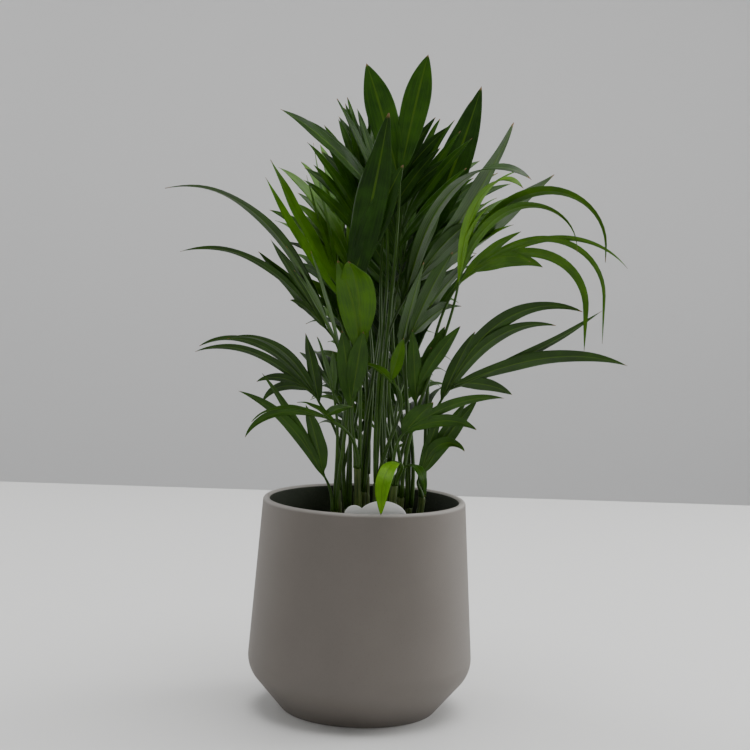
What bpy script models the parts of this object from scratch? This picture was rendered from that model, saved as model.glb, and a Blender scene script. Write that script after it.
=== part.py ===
"""A young areca palm in a turned cover pot, modelled as named solids at real size.

Metres, +Z up. The origin is the centre of the pot's flat underside. +X is the plant's right
and -Y its front. A frond is a leaf stalk that runs on as a rib, with leaflets fused to the rib.
"""

import math

import bpy
from mathutils import Quaternion, Vector
from mathutils.bvhtree import BVHTree

MM = 0.001
DOWN = Vector((0, 0, -1))

# The pot: a straight flared wall that turns in under a rounded shoulder to a small foot.
POT_HEIGHT = 0.170
POT_RIM_RADIUS = 0.0812
POT_SHOULDER_RADIUS = 0.0906
POT_SHOULDER_HEIGHT = 0.0335
POT_SHOULDER_ROUNDING = 0.026
POT_FOOT_RADIUS = 0.0621
POT_FOOT_ROUNDING = 0.002
POT_WALL = 0.0056
POT_FLOOR = 0.008
POT_SEGMENTS = 48
ARC_STEPS = 4

SOIL_TOP = 0.140
SOIL_SEGMENTS = 32
CLEARANCE = 0.0003

# The plant label: a blank card with a small and a large round hump along its top. A hump is
# its middle across, its half width and its rise above the shoulder.
LABEL_MIDDLE = (0.009, -0.0665)
LABEL_THICKNESS = 0.0009
LABEL_SHOULDER = 0.166
LABEL_HUMPS = ((0.0055, 0.0185, 0.0124), (-0.0160, 0.0080, 0.0086))
LABEL_HALF_WIDTH = 0.024
LABEL_STEPS = 18

# Canes: the sheathed foot of each seedling, set out like seeds in a sunflower head.
CANE_COUNT = 14
CANES_PER_TURN = 137.5
CANE_FIELD = 0.036
CANE_MIDDLE = (0.008, -0.006)
CANE_FOOT_RADIUS = 0.0035
CANE_TOP_RADIUS = 0.0029
CANE_SHORTEST = 0.022
CANE_STEP = 0.012
CANE_SIDES = 6
CANE_LEAN = 0.10
STALKS_PER_CANE = 3
STALK_SPACING = 0.0018

# A stalk rises straight from its cane for a share of its span, and comes into its blade along
# the rib for another. The lowest blades stand at least this far above their cane's top.
STALK_RISE = 0.4
STALK_LEAD_IN = 0.3
STALK_BOW_AT_BLADE = 0.6
LEAST_STALK = 0.010
STEEP_COST = 4
STALK_RADIUS = 0.0012
STALK_SIDES = 3
STALK_STEPS = 5
RIB_STEPS = 2
RIB_END_RADIUS = 0.0008

# A leaflet's line has twelve steps, and its blade has a cross-section at some of them.
LEAFLET_STEPS = 12
SHORT_STATIONS = (0, 3, 8)
STIFF_STATIONS = (0, 2, 5, 9)
BENT_STATIONS = (0, 2, 4, 6, 8, 10)
SHORT_BELOW = 0.070
BENT_FROM = 70
BEND_POWER = 1.7
ROOT_HALF_WIDTH = 0.0013
ROOT_SUNK = 0.0012
LEAFLET_FOLD = 0.12
THICKNESS_SHARE = 0.010
KEEL_DEPTH = 0.0006
KEEL_AT_ENDS = 0.35
WIDTH_AT_ROOT = 0.25
TIP_ROUNDNESS = 0.85
SHARP_ANGLE = 35

# Fronds seen from the front: name, foot of the blade in mm, then azimuth, lean and roll in
# degrees, the rib's length in mm, where the leaflets are broadest along their length, and the
# leaflets from the rib's foot to its end, each as splay, length in mm, droop and width in mm.
FRONT_FRONDS = (
    ("top_fork", (20, -8, 420), (90, 6, 0), 8, 0.60,
     ((-15, 100, 6, 24), (10, 98, 4, 22))),
    ("upper_right_blade", (32, 12, 360), (60, 22, 15), 14, 0.50,
     ((12, 158, -10, 30), (4, 146, 14, 9), (1, 86, 6, 14))),
    ("dark_right_fan", (24, -8, 326), (20, 30, -55), 26, 0.56,
     ((21, 98, 10, 20), (28, 186, 105, 24), (-12, 168, -16, 26), (-35, 186, -6, 27),
      (-11, 66, 20, 16))),
    ("arching_leaf", (68, -20, 344), (-8, 7, -30), 4, 0.45,
     ((6, 136, 118, 15), (2, 62, 40, 9))),
    ("right_fountain", (66, -12, 340), (5, 30, -66), 16, 0.40,
     ((17, 196, 182, 10), (18, 152, 166, 10), (-24, 162, 85, 5), (-12, 64, 24, 9),
      (-20, 194, 188, 5), (-30, 172, 180, 8), (-28, 60, 60, 12), (-39, 70, 50, 14))),
    ("dark_right_mid", (24, -18, 290), (15, 36, -45), 16, 0.50,
     ((42, 82, 6, 19), (8, 92, 16, 23), (26, 80, 10, 21), (-16, 44, 20, 21))),
    ("left_long_arcs", (-30, -4, 300), (185, 42, 40), 16, 0.40,
     ((-26, 216, 72, 12), (-3, 84, 8, 15), (-16, 84, 6, 12), (-5, 134, 70, 8), (0, 28, 40, 9))),
    ("left_mid_blades", (-22, -26, 286), (160, 26, 30), 10, 0.45,
     ((-44, 104, 6, 15), (10, 92, 10, 16), (30, 80, 12, 15))),
    ("upper_left_sprays", (8, 14, 406), (130, 22, 20), 14, 0.45,
     ((-57, 130, 20, 16), (-53, 102, 20, 10), (-23, 82, 6, 12), (-5, 68, 4, 12))),
    ("left_bright_blades", (-20, 8, 324), (130, 26, 30), 22, 0.45,
     ((-61, 140, -12, 15), (-12, 104, -6, 10), (-49, 128, -8, 24), (8, 132, -8, 9),
      (34, 168, -6, 13))),
    ("centre_dark_fork", (-16, -34, 332), (75, 4, 0), 12, 0.50,
     ((11, 144, -4, 27), (20, 98, 6, 21))),
    ("front_bifid", (-6, -52, 288), (-95, 12, 0), 10, 0.50,
     ((7, 80, 30, 23), (2, 78, 60, 27))),
    ("left_mid", (-38, -8, 246), (195, 30, 40), 12, 0.40,
     ((-22, 62, 6, 12), (-3, 98, 80, 11), (23, 112, 66, 9), (11, 110, 84, 9),
      (38, 52, 60, 9), (56, 52, 80, 8))),
    ("low_left_arch", (-24, -56, 236), (190, 62, 30), 10, 0.45,
     ((-30, 44, 40, 8), (5, 66, 75, 9), (25, 74, 80, 9), (-96, 46, 20, 9))),
    ("low_left_long", (-30, -22, 186), (180, 28, 70), 6, 0.40,
     ((2, 102, 44, 11), (1, 96, 10, 9), (-17, 58, 10, 15))),
    ("pale_centre_leaf", (22, -40, 264), (200, 40, 30), 6, 0.45,
     ((-1, 36, 60, 9), (-52, 50, 6, 10))),
    ("hanging_leaf", (26, -52, 206), (180, 70, 0), 4, 0.55,
     ((-69, 64, 150, 12),)),
    ("right_low", (58, -6, 250), (-10, 30, -52), 18, 0.42,
     ((11, 64, 10, 12), (1, 114, 70, 13), (6, 142, 86, 14), (-42, 146, -12, 10),
      (-43, 158, 40, 13), (-65, 56, 30, 11))),
    ("right_low_front", (28, -36, 226), (-30, 40, -40), 8, 0.45,
     ((0, 38, 10, 18), (-32, 58, 60, 12), (-21, 80, 40, 10))),
    ("low_right_small", (42, -18, 188), (-15, 20, -60), 10, 0.50,
     ((5, 60, 4, 9), (-12, 76, 10, 14), (-8, 68, 8, 9), (3, 48, 130, 11))),
    ("small_rim_leaf", (34, -34, 202), (-20, 75, 0), 3, 0.45,
     ((48, 46, 110, 7),)),
    ("centre_right_upright", (38, -20, 248), (-70, 10, 0), 16, 0.45,
     ((8, 62, 4, 12), (-9, 42, 6, 16), (-16, 56, 8, 13), (-28, 58, 10, 12))),
    ("centre_left_fork", (-12, -44, 246), (-90, 8, 0), 8, 0.50,
     ((7, 62, 6, 16), (-7, 56, 6, 16))),
    ("left_low_upright", (-26, -26, 252), (210, 14, 0), 8, 0.45,
     ((5, 50, 6, 10), (-21, 38, 4, 10), (53, 50, 14, 10))),
)

# Tiers of pinnate fronds that fill the back: name, count, blade foot's height and distance from
# the middle, lean, rib length, leaflet length and width, droop, first and last azimuth.
BACK_TIERS = (
    ("back_top", 3, 0.375, 0.024, 14, 0.034, 0.078, 0.017, 16, 60, 120),
    ("back_high", 5, 0.325, 0.036, 30, 0.050, 0.104, 0.018, 34, 52, 124),
    ("back_middle", 5, 0.270, 0.042, 40, 0.050, 0.112, 0.016, 52, 60, 120),
    ("back_low", 5, 0.222, 0.044, 50, 0.040, 0.086, 0.013, 60, 56, 124),
)
BACK_PAIRS = 3
BACK_SPLAYS = (40, 14)
BACK_BELLY = 0.45
BACK_ROLL = 12
BACK_RISE = 0.010
END_PAIR_SHARE = 0.80
MIDDLE_PAIR_GAIN = 0.35
UNEVENNESS = 0.06
# How far left and right the back of the crown spreads at a height: narrow at the stems, then
# opening under the upper leaves, and drawn in again toward the top.
BACK_SPREAD = (
    (0.16, -0.042, 0.055),
    (0.33, -0.048, 0.075),
    (0.37, -0.072, 0.110),
    (0.43, -0.084, 0.120),
    (0.50, -0.015, 0.085),
)

# Where a leaflet would touch another frond it leans back or forward by these shares, then it
# also turns in its blade by these degrees, then it is cut shorter.
DEPTH_NUDGES = (0, 0.07, -0.07, 0.14, -0.14, 0.22, -0.22, 0.32, -0.32)
TURN_NUDGES = (0, 6, -6, 12, -12, 20, -20)
LENGTH_NUDGES = (1.0, 0.82, 0.66)
# A stalk whose way is barred bows aside by these distances in mm, in this many directions.
STALK_BOWS = (6, 12, 18, 25)
BOW_DIRECTIONS = 8


def material(name, colour, roughness):
    """A plain Principled material."""
    made = bpy.data.materials.new(name)
    made.use_nodes = True
    shader = made.node_tree.nodes["Principled BSDF"]
    shader.inputs["Base Color"].default_value = (*colour, 1)
    shader.inputs["Roughness"].default_value = roughness
    shader.inputs["Metallic"].default_value = 0
    return made


def mesh_object(name, points, faces, finish, smooth=True):
    """An object from points in world metres and faces that point out."""
    mesh = bpy.data.meshes.new(name)
    mesh.from_pydata([tuple(point) for point in points], [], faces)
    mesh.materials.append(finish)
    if smooth:
        mesh.shade_smooth()
        mesh.set_sharp_from_angle(angle=math.radians(SHARP_ANGLE))
    made = bpy.data.objects.new(name, mesh)
    bpy.context.scene.collection.objects.link(made)
    return made


def rounded_corner(before, corner, after, radius):
    """The points of an arc that rounds one corner of an outline of (radius, height) points."""
    before, corner, after = Vector(before), Vector(corner), Vector(after)
    back = (before - corner).normalized()
    ahead = (after - corner).normalized()
    half = back.angle(ahead) / 2
    start = corner + back * (radius / math.tan(half))
    end = corner + ahead * (radius / math.tan(half))
    middle = corner + (back + ahead).normalized() * (radius / math.sin(half))
    reach = (start - middle).length
    first, last = (start - middle) / reach, (end - middle) / reach
    return [middle + first.slerp(last, step / ARC_STEPS) * reach for step in range(ARC_STEPS + 1)]


def pot_outline():
    """The pot's cross-section as (radius, height), from the floor's middle round to it again."""
    shoulder = (POT_SHOULDER_RADIUS, POT_SHOULDER_HEIGHT)
    rim = (POT_RIM_RADIUS, POT_HEIGHT)
    foot = (POT_FOOT_RADIUS, 0.0)
    outline = rounded_corner((0, 0), foot, shoulder, POT_FOOT_ROUNDING)
    outline += rounded_corner(foot, shoulder, rim, POT_SHOULDER_ROUNDING)
    lip = POT_WALL / 2
    for step in range(ARC_STEPS + 2):
        angle = math.pi * step / (ARC_STEPS + 1)
        outline.append(Vector((POT_RIM_RADIUS - lip + lip * math.cos(angle),
                               POT_HEIGHT - lip + lip * math.sin(angle))))
    inner_shoulder = (POT_SHOULDER_RADIUS - POT_WALL, POT_SHOULDER_HEIGHT + POT_WALL / 2)
    inner_foot = (POT_FOOT_RADIUS - POT_WALL / 2, POT_FLOOR)
    inner_rim = (POT_RIM_RADIUS - POT_WALL, POT_HEIGHT)
    outline += rounded_corner(inner_rim, inner_shoulder, inner_foot,
                              POT_SHOULDER_ROUNDING - POT_WALL)
    outline.append(Vector(inner_foot))
    return outline


def inner_radius(height):
    """The radius of the pot's inner wall at a height."""
    below = POT_SHOULDER_HEIGHT + POT_WALL / 2
    share = (height - below) / (POT_HEIGHT - below)
    wide = POT_SHOULDER_RADIUS - POT_WALL
    return wide + (POT_RIM_RADIUS - POT_WALL - wide) * share


def turned(name, outline, segments, finish):
    """A closed solid of revolution from an outline that starts and ends on the axis."""
    points = [Vector((0, 0, outline[0][1]))]
    for radius, height in outline[1:-1]:
        for segment in range(segments):
            angle = 2 * math.pi * segment / segments
            points.append(Vector((radius * math.cos(angle), radius * math.sin(angle), height)))
    last = len(points)
    points.append(Vector((0, 0, outline[-1][1])))
    faces = []
    for segment in range(segments):
        ahead = (segment + 1) % segments
        faces.append((0, 1 + ahead, 1 + segment))
        for ring in range(len(outline) - 3):
            low = 1 + ring * segments
            high = low + segments
            faces.append((low + segment, low + ahead, high + ahead, high + segment))
        faces.append((last, last - segments + segment, last - segments + ahead))
    return mesh_object(name, points, faces, finish)


def make_pot(finish):
    outline = [Vector((0, 0))] + pot_outline() + [Vector((0, POT_FLOOR))]
    return turned("pot", outline, POT_SEGMENTS, finish)


def make_soil(finish):
    """The potting mix that fills the pot, clear of its wall and floor."""
    gap = 2 * CLEARANCE
    bottom = POT_FLOOR + CLEARANCE
    foot = (POT_FOOT_RADIUS - POT_WALL / 2 - gap, bottom)
    side = (POT_SHOULDER_RADIUS - POT_WALL - gap, POT_SHOULDER_HEIGHT + POT_WALL / 2)
    top = (inner_radius(SOIL_TOP) - gap, SOIL_TOP)
    outline = [Vector((0, bottom)), Vector(foot)]
    outline += rounded_corner(foot, side, top, POT_SHOULDER_ROUNDING - POT_WALL)
    outline += [Vector(top), Vector((0, SOIL_TOP))]
    return turned("potting_soil", outline, SOIL_SEGMENTS, finish)


def label_top(across):
    """The height of the card's upper edge at a distance across from its middle."""
    rises = []
    for middle, half, rise in LABEL_HUMPS:
        rises.append(rise * math.sqrt(max(0.0, 1 - ((across - middle) / half) ** 2)))
    return LABEL_SHOULDER + max(rises)


def make_label(finish):
    """The blank card that stands in the soil behind the pot's front lip."""
    middle_x, middle_y = LABEL_MIDDLE
    foot = SOIL_TOP + CLEARANCE
    outline = [(-LABEL_HALF_WIDTH, foot), (LABEL_HALF_WIDTH, foot)]
    for step in range(LABEL_STEPS + 1):
        across = LABEL_HALF_WIDTH * (1 - 2 * step / LABEL_STEPS)
        outline.append((across, label_top(across)))
    count = len(outline)
    points = []
    for y in (middle_y - LABEL_THICKNESS / 2, middle_y + LABEL_THICKNESS / 2):
        points += [Vector((middle_x + x, y, z)) for x, z in outline]
    faces = [tuple(range(count)), tuple(reversed(range(count, 2 * count)))]
    for side in range(count):
        ahead = (side + 1) % count
        faces.append((side, side + count, ahead + count, ahead))
    return mesh_object("plant_label", points, faces, finish, smooth=False)


def tube_mesh(path, radii, sides, level=()):
    """Points and faces of a closed tube along a path, kept from twisting, with some rings level."""
    points = []
    across = Vector((1, 0, 0))
    for index, centre in enumerate(path):
        ahead = path[min(index + 1, len(path) - 1)] - path[max(index - 1, 0)]
        ahead = Vector((0, 0, 1)) if index in level else ahead.normalized()
        across = (across - ahead * across.dot(ahead)).normalized()
        other = ahead.cross(across)
        for side in range(sides):
            angle = 2 * math.pi * side / sides
            ring = across * math.cos(angle) + other * math.sin(angle)
            points.append(centre + ring * radii[index])
    faces = [tuple(reversed(range(sides)))]
    for ring in range(len(path) - 1):
        for side in range(sides):
            ahead = (side + 1) % sides
            low = ring * sides
            faces.append((low + side, low + ahead, low + sides + ahead, low + sides + side))
    faces.append(tuple(range(len(points) - sides, len(points))))
    return points, faces


def cane_line(index):
    """The foot and the top of one cane."""
    angle = math.radians(index * CANES_PER_TURN)
    distance = CANE_FIELD * math.sqrt((index + 0.5) / CANE_COUNT)
    outward = Vector((math.cos(angle), math.sin(angle), 0))
    foot = Vector((*CANE_MIDDLE, SOIL_TOP + CLEARANCE)) + outward * distance
    height = CANE_SHORTEST + CANE_STEP * ((index * 5) % 4)
    lean = outward * (CANE_LEAN * distance / CANE_FIELD)
    return foot, foot + (Vector((0, 0, 1)) + lean) * height


def cane_mesh(index, grow=0.0):
    """A cane's points and faces, cut level at both ends."""
    radii = [CANE_FOOT_RADIUS + grow, CANE_TOP_RADIUS + grow]
    return tube_mesh(cane_line(index), radii, CANE_SIDES, level=(0, 1))


def make_cane(index, finish):
    return mesh_object(f"cane_{index + 1:02d}", *cane_mesh(index), finish)


def blade_axes(azimuth, lean, roll):
    """Along the rib, across the blade, and out of its upper face."""
    turn, tilt, twist = (math.radians(angle) for angle in (azimuth, lean, roll))
    along = Vector((math.sin(tilt) * math.cos(turn), math.sin(tilt) * math.sin(turn),
                    math.cos(tilt)))
    across = Vector((math.sin(turn), -math.cos(turn), 0))
    upper = across.cross(along)
    spin = Quaternion(along, twist)
    return along, spin @ across, spin @ upper


def drooping_line(root, heading, upper, length, droop):
    """Points, headings and upper normals of a line that bends toward the ground."""
    place, heading, upper = root.copy(), heading.copy(), upper.copy()
    places, headings, uppers = [place.copy()], [heading.copy()], [upper.copy()]
    for step in range(LEAFLET_STEPS):
        ahead = ((step + 1) / LEAFLET_STEPS) ** BEND_POWER - (step / LEAFLET_STEPS) ** BEND_POWER
        bend = min(math.radians(droop) * ahead, heading.angle(DOWN))
        axis = heading.cross(DOWN).normalized()
        place = place + (Quaternion(axis, bend / 2) @ heading) * (length / LEAFLET_STEPS)
        heading = Quaternion(axis, bend) @ heading
        upper = Quaternion(axis, bend) @ upper
        places.append(place)
        headings.append(heading)
        uppers.append(upper)
    return places, headings, uppers


def blade_width(share, belly):
    """The share of a leaflet's width at a share of its length."""
    if share < belly:
        return WIDTH_AT_ROOT + (1 - WIDTH_AT_ROOT) * math.sin(math.pi / 2 * share / belly)
    return math.cos(math.pi / 2 * (share - belly) / (1 - belly)) ** TIP_ROUNDNESS


def stations_of(length, droop):
    """The steps of a leaflet's line at which its blade has a cross-section."""
    if droop >= BENT_FROM:
        return BENT_STATIONS
    return SHORT_STATIONS if length < SHORT_BELOW else STIFF_STATIONS


def leaflet_mesh(line, length, droop, width, belly, grow=0.0):
    """A folded blade: three points at each station and one at the tip."""
    places, headings, uppers = line
    stations = stations_of(length, droop)
    fold = LEAFLET_FOLD * width / 2
    thick = max(THICKNESS_SHARE * length - fold, KEEL_DEPTH)
    points = []
    for station in stations:
        wide = blade_width(station / LEAFLET_STEPS, belly)
        half = max(width / 2 * wide, ROOT_HALF_WIDTH) + grow
        centre = places[station]
        if station == 0:
            half = ROOT_HALF_WIDTH + grow
            centre = centre - headings[0] * ROOT_SUNK
        across = headings[station].cross(uppers[station])
        lift = uppers[station] * (LEAFLET_FOLD * half + grow)
        keel = thick * (KEEL_AT_ENDS + (1 - KEEL_AT_ENDS) * wide) + grow
        points += [centre - across * half + lift, centre + across * half + lift,
                   centre - uppers[station] * keel]
    points.append(places[-1] + headings[-1] * grow)
    faces = [(0, 2, 1)]
    for band in range(len(stations) - 1):
        low = 3 * band
        high = low + 3
        faces += [(low, low + 1, high + 1, high), (low + 1, low + 2, high + 2, high + 1),
                  (low + 2, low, high, high + 2)]
    last = 3 * (len(stations) - 1)
    tip = len(points) - 1
    faces += [(last, last + 1, tip), (last + 1, last + 2, tip), (last + 2, last, tip)]
    return points, faces


class Crown:
    """What has been placed so far, so that each new piece keeps clear of other fronds."""

    def __init__(self):
        self.placed = []

    def add(self, owner, points, faces):
        self.placed.append((owner, box_of(points), BVHTree.FromPolygons(points, faces)))

    def touches(self, owner, points, faces):
        low, high = box_of(points)
        tree = BVHTree.FromPolygons(points, faces)
        for other, (other_low, other_high), other_tree in self.placed:
            if other == owner:
                continue
            if any(low[k] > other_high[k] or high[k] < other_low[k] for k in range(3)):
                continue
            if tree.overlap(other_tree):
                return True
        return False


def box_of(points):
    low = [min(point[k] for point in points) for k in range(3)]
    high = [max(point[k] for point in points) for k in range(3)]
    return low, high


def stalk_path(start, foot, along, nudge):
    """A stalk that leaves its cane upright and meets the blade in the rib's direction."""
    span = (foot - start).length
    sideways = Vector((nudge[0] * MM, nudge[1] * MM, 0))
    first = start + Vector((0, 0, 1)) * span * STALK_RISE + sideways
    second = foot - along * span * STALK_LEAD_IN + sideways * STALK_BOW_AT_BLADE
    path = []
    for step in range(STALK_STEPS):
        t = step / STALK_STEPS
        path.append(start * (1 - t) ** 3 + first * 3 * t * (1 - t) ** 2
                    + second * 3 * t * t * (1 - t) + foot * t ** 3)
    return path


def choose_canes(fronds):
    """Give each frond the nearest cane that has room, the lowest fronds choosing first."""
    room = {index: STALKS_PER_CANE for index in range(CANE_COUNT)}
    chosen = {}
    for frond in sorted(fronds, key=lambda item: item["foot"].z):
        def distance(index):
            top = cane_line(index)[1]
            steep = max(0.0, top.z + LEAST_STALK - frond["foot"].z)
            return (top - frond["foot"]).to_2d().length + STEEP_COST * steep
        best = min((index for index in room if room[index]), key=distance)
        room[best] -= 1
        chosen[frond["name"]] = (best, room[best])
    return chosen


def front_fronds():
    fronds = []
    for name, foot, angles, rib, belly, leaflets in FRONT_FRONDS:
        fronds.append({"name": name, "foot": Vector(foot) * MM, "angles": angles,
                       "rib": rib * MM, "belly": belly, "leaflets": leaflets, "back": False})
    return fronds


def back_fronds():
    """Pinnate fronds in tiers, set out evenly round the back of the crown."""
    fronds = []
    for tier in BACK_TIERS:
        name, count, height, out, lean, rib, length, width, droop, first, last = tier
        for index in range(count):
            share = index / (count - 1)
            azimuth = first + (last - first) * share
            turn = math.radians(azimuth)
            rise = BACK_RISE * ((index * 2) % 3 - 1)
            foot = Vector((CANE_MIDDLE[0] + out * math.cos(turn), out * math.sin(turn),
                           height + rise))
            leaflets = []
            for pair in range(BACK_PAIRS):
                along = pair / (BACK_PAIRS - 1)
                splay = BACK_SPLAYS[0] + (BACK_SPLAYS[1] - BACK_SPLAYS[0]) * along
                fuller = math.sin(math.pi * (1 + 2 * along) / 4)
                reach = length * (END_PAIR_SHARE + MIDDLE_PAIR_GAIN * fuller)
                for side in (-1, 1):
                    longer = 1 + UNEVENNESS * side * (-1) ** index
                    leaflets.append((side * splay, reach * longer / MM, droop, width / MM))
            fronds.append({"name": f"{name}_{index + 1}", "foot": foot,
                           "angles": (azimuth, lean, BACK_ROLL * ((index % 3) - 1)), "rib": rib,
                           "belly": BACK_BELLY, "leaflets": tuple(leaflets), "back": True})
    return fronds


def rib_line(frond):
    """The rib's points and the blade's axes."""
    along, across, upper = blade_axes(*frond["angles"])
    foot = frond["foot"]
    path = [foot + along * frond["rib"] * step / RIB_STEPS for step in range(RIB_STEPS + 1)]
    return path, along, across, upper


def limb_mesh(start, frond, nudge, grow=0.0):
    """The stalk and the rib of a frond as one tapering tube."""
    rib, along, across, upper = rib_line(frond)
    path = stalk_path(start, frond["foot"], along, nudge) + rib
    radii = []
    for index in range(len(path)):
        share = max(0.0, (index - STALK_STEPS) / RIB_STEPS)
        radii.append(STALK_RADIUS + (RIB_END_RADIUS - STALK_RADIUS) * share + grow)
    return tube_mesh(path, radii, STALK_SIDES, level=(0,))


def stalk_start(cane, place):
    """Where the stalk at one of a cane's places begins, just above the cane's top."""
    top = cane_line(cane)[1]
    angle = 2 * math.pi * place / STALKS_PER_CANE + cane
    return top + Vector((STALK_SPACING * math.cos(angle), STALK_SPACING * math.sin(angle),
                         CLEARANCE))


def stalk_bows():
    """The sideways bows that a stalk may take, the straightest first."""
    bows = [(0.0, 0.0)]
    for size in STALK_BOWS:
        for direction in range(BOW_DIRECTIONS):
            angle = 2 * math.pi * direction / BOW_DIRECTIONS
            bows.append((size * math.cos(angle), size * math.sin(angle)))
    return bows


def place_limb(crown, frond, cane, place):
    """The frond's stalk and rib, bowed aside where another limb is in the way."""
    start = stalk_start(cane, place)
    for nudge in stalk_bows():
        points, faces = limb_mesh(start, frond, nudge, grow=CLEARANCE)
        if not crown.touches(frond["name"], points, faces):
            break
    else:
        print(frond["name"], "has no clear way up")
    points, faces = limb_mesh(start, frond, nudge)
    crown.add(frond["name"], points, faces)
    return points, faces


def spread_at(height):
    """How far left and right the back of the crown spreads at a height."""
    for below, above in zip(BACK_SPREAD, BACK_SPREAD[1:]):
        if height < above[0]:
            break
    share = min(max((height - below[0]) / (above[0] - below[0]), 0.0), 1.0)
    return [low + (high - low) * share for low, high in zip(below[1:], above[1:])]


def outside_spread(points):
    """Whether any point lies beyond the back's spread at its height."""
    for point in points:
        left, right = spread_at(point.z)
        if not left < point.x < right:
            return True
    return False


def place_leaflet(crown, frond, index):
    """One leaflet that touches no other frond, or None where there is no room for it."""
    splay, length, droop, width = frond["leaflets"][index]
    count = len(frond["leaflets"])
    rib, along, across, upper = rib_line(frond)
    share = index / (count - 1) if count > 1 else 0
    root = frond["foot"] + along * frond["rib"] * share
    for shorter in LENGTH_NUDGES:
        for turn in TURN_NUDGES:
            for depth in DEPTH_NUDGES:
                angle = math.radians(splay + turn)
                heading = along * math.cos(angle) + across * math.sin(angle)
                heading = (heading + Vector((0, depth, 0))).normalized()
                face = (upper - heading * upper.dot(heading)).normalized()
                reach = length * shorter * MM
                line = drooping_line(root, heading, face, reach, droop)
                shape = (line, reach, droop, width * MM, frond["belly"])
                points, faces = leaflet_mesh(*shape, grow=CLEARANCE)
                if frond["back"] and outside_spread(points):
                    continue
                if not crown.touches(frond["name"], points, faces):
                    points, faces = leaflet_mesh(*shape)
                    crown.add(frond["name"], points, faces)
                    return points, faces
    print(frond["name"], "leaflet", index + 1, "has no room")
    return None


def fused(limb, leaflets):
    """One Boolean union of the leaflets with their rib, applied."""
    group = bpy.data.collections.new(limb.name + "_leaflets")
    for leaflet in leaflets:
        group.objects.link(leaflet)
        bpy.context.scene.collection.objects.unlink(leaflet)
    bpy.context.scene.collection.children.link(group)
    union = limb.modifiers.new("leaflets", "BOOLEAN")
    union.operation = "UNION"
    union.operand_type = "COLLECTION"
    union.collection = group
    union.solver = "EXACT"
    graph = bpy.context.evaluated_depsgraph_get()
    joined = bpy.data.meshes.new_from_object(limb.evaluated_get(graph))
    limb.modifiers.clear()
    limb.data = joined
    for leaflet in leaflets:
        bpy.data.objects.remove(leaflet)
    bpy.data.collections.remove(group)
    return limb


def make_fronds(finish):
    fronds = front_fronds() + back_fronds()
    canes = choose_canes(fronds)
    crown = Crown()
    for index in range(CANE_COUNT):
        crown.add(f"cane {index}", *cane_mesh(index, grow=CLEARANCE))
    limbs = [place_limb(crown, frond, *canes[frond["name"]]) for frond in fronds]
    kept = 0
    for frond, (points, faces) in zip(fronds, limbs):
        limb = mesh_object("frond_" + frond["name"], points, faces, finish)
        leaflets = []
        for index in range(len(frond["leaflets"])):
            placed = place_leaflet(crown, frond, index)
            if placed:
                leaflets.append(mesh_object(f"leaflet_{index}", *placed, finish))
        kept += len(leaflets)
        fused(limb, leaflets)
    print(len(fronds), "fronds with", kept, "leaflets")


def clear_scene():
    for item in list(bpy.data.objects):
        bpy.data.objects.remove(item)


def main():
    clear_scene()
    make_pot(material("matte taupe glaze", (0.200, 0.180, 0.165), 0.62))
    make_soil(material("damp potting mix", (0.030, 0.020, 0.014), 0.95))
    make_label(material("white card", (0.780, 0.780, 0.760), 0.55))
    sheath = material("green cane", (0.090, 0.170, 0.040), 0.50)
    for index in range(CANE_COUNT):
        make_cane(index, sheath)
    make_fronds(material("palm green", (0.050, 0.130, 0.015), 0.42))


if __name__ == "__main__":
    main()
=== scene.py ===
# %% [markdown]
# # A young palm in a matte cover pot
#
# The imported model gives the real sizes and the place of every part: the pot, the potting mix, a
# blank label, fourteen canes and forty-two fronds. This script dresses it. Each solid frond is
# replaced by thin pleated leaflets that follow the same line and keep to the same reach.

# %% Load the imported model
import math
import random

import bpy
from mathutils import Matrix, Quaternion, Vector
from mathutils.bvhtree import BVHTree
from mathutils.noise import noise


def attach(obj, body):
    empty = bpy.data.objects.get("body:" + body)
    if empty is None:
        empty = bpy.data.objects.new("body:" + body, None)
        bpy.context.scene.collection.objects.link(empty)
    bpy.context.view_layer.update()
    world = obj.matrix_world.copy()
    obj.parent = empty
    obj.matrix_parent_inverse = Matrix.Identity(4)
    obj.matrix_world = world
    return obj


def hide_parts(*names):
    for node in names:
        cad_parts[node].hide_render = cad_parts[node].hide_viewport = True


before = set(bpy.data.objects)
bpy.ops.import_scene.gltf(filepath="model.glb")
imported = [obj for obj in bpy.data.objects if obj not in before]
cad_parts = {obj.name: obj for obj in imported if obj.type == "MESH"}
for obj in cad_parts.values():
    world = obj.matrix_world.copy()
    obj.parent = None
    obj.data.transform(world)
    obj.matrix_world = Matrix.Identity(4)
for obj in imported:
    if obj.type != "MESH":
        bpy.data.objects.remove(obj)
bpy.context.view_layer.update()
scene = bpy.context.scene

# %% [markdown]
# ## The camera
#
# The camera stands a little above the pot's rim, 1.27 m away, and is held slightly askew. A long
# lens keeps the pot's sides nearly parallel. The lens follows from how many pixels one metre at
# one metre's distance takes, so it is worked out and not guessed.

# %% Set the camera
PHOTO_WIDTH = 750
FOCAL_PIXELS = 1600
SENSOR = 36
CAMERA_PLACE = Vector((0.0053, -1.272, 0.371))
CAMERA_PITCH = math.radians(4.58)
CAMERA_ROLL = math.radians(1.84)


def make_camera():
    data = bpy.data.cameras.new("photo camera")
    data.sensor_width = SENSOR
    data.lens = FOCAL_PIXELS * SENSOR / PHOTO_WIDTH
    camera = bpy.data.objects.new("photo camera", data)
    scene.collection.objects.link(camera)
    turn = (Matrix.Rotation(math.pi / 2 - CAMERA_PITCH, 4, "X")
            @ Matrix.Rotation(CAMERA_ROLL, 4, "Z"))
    camera.matrix_world = Matrix.Translation(CAMERA_PLACE) @ turn
    scene.camera = camera
    return camera


print("lens", round(make_camera().data.lens, 1), "mm")

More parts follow.
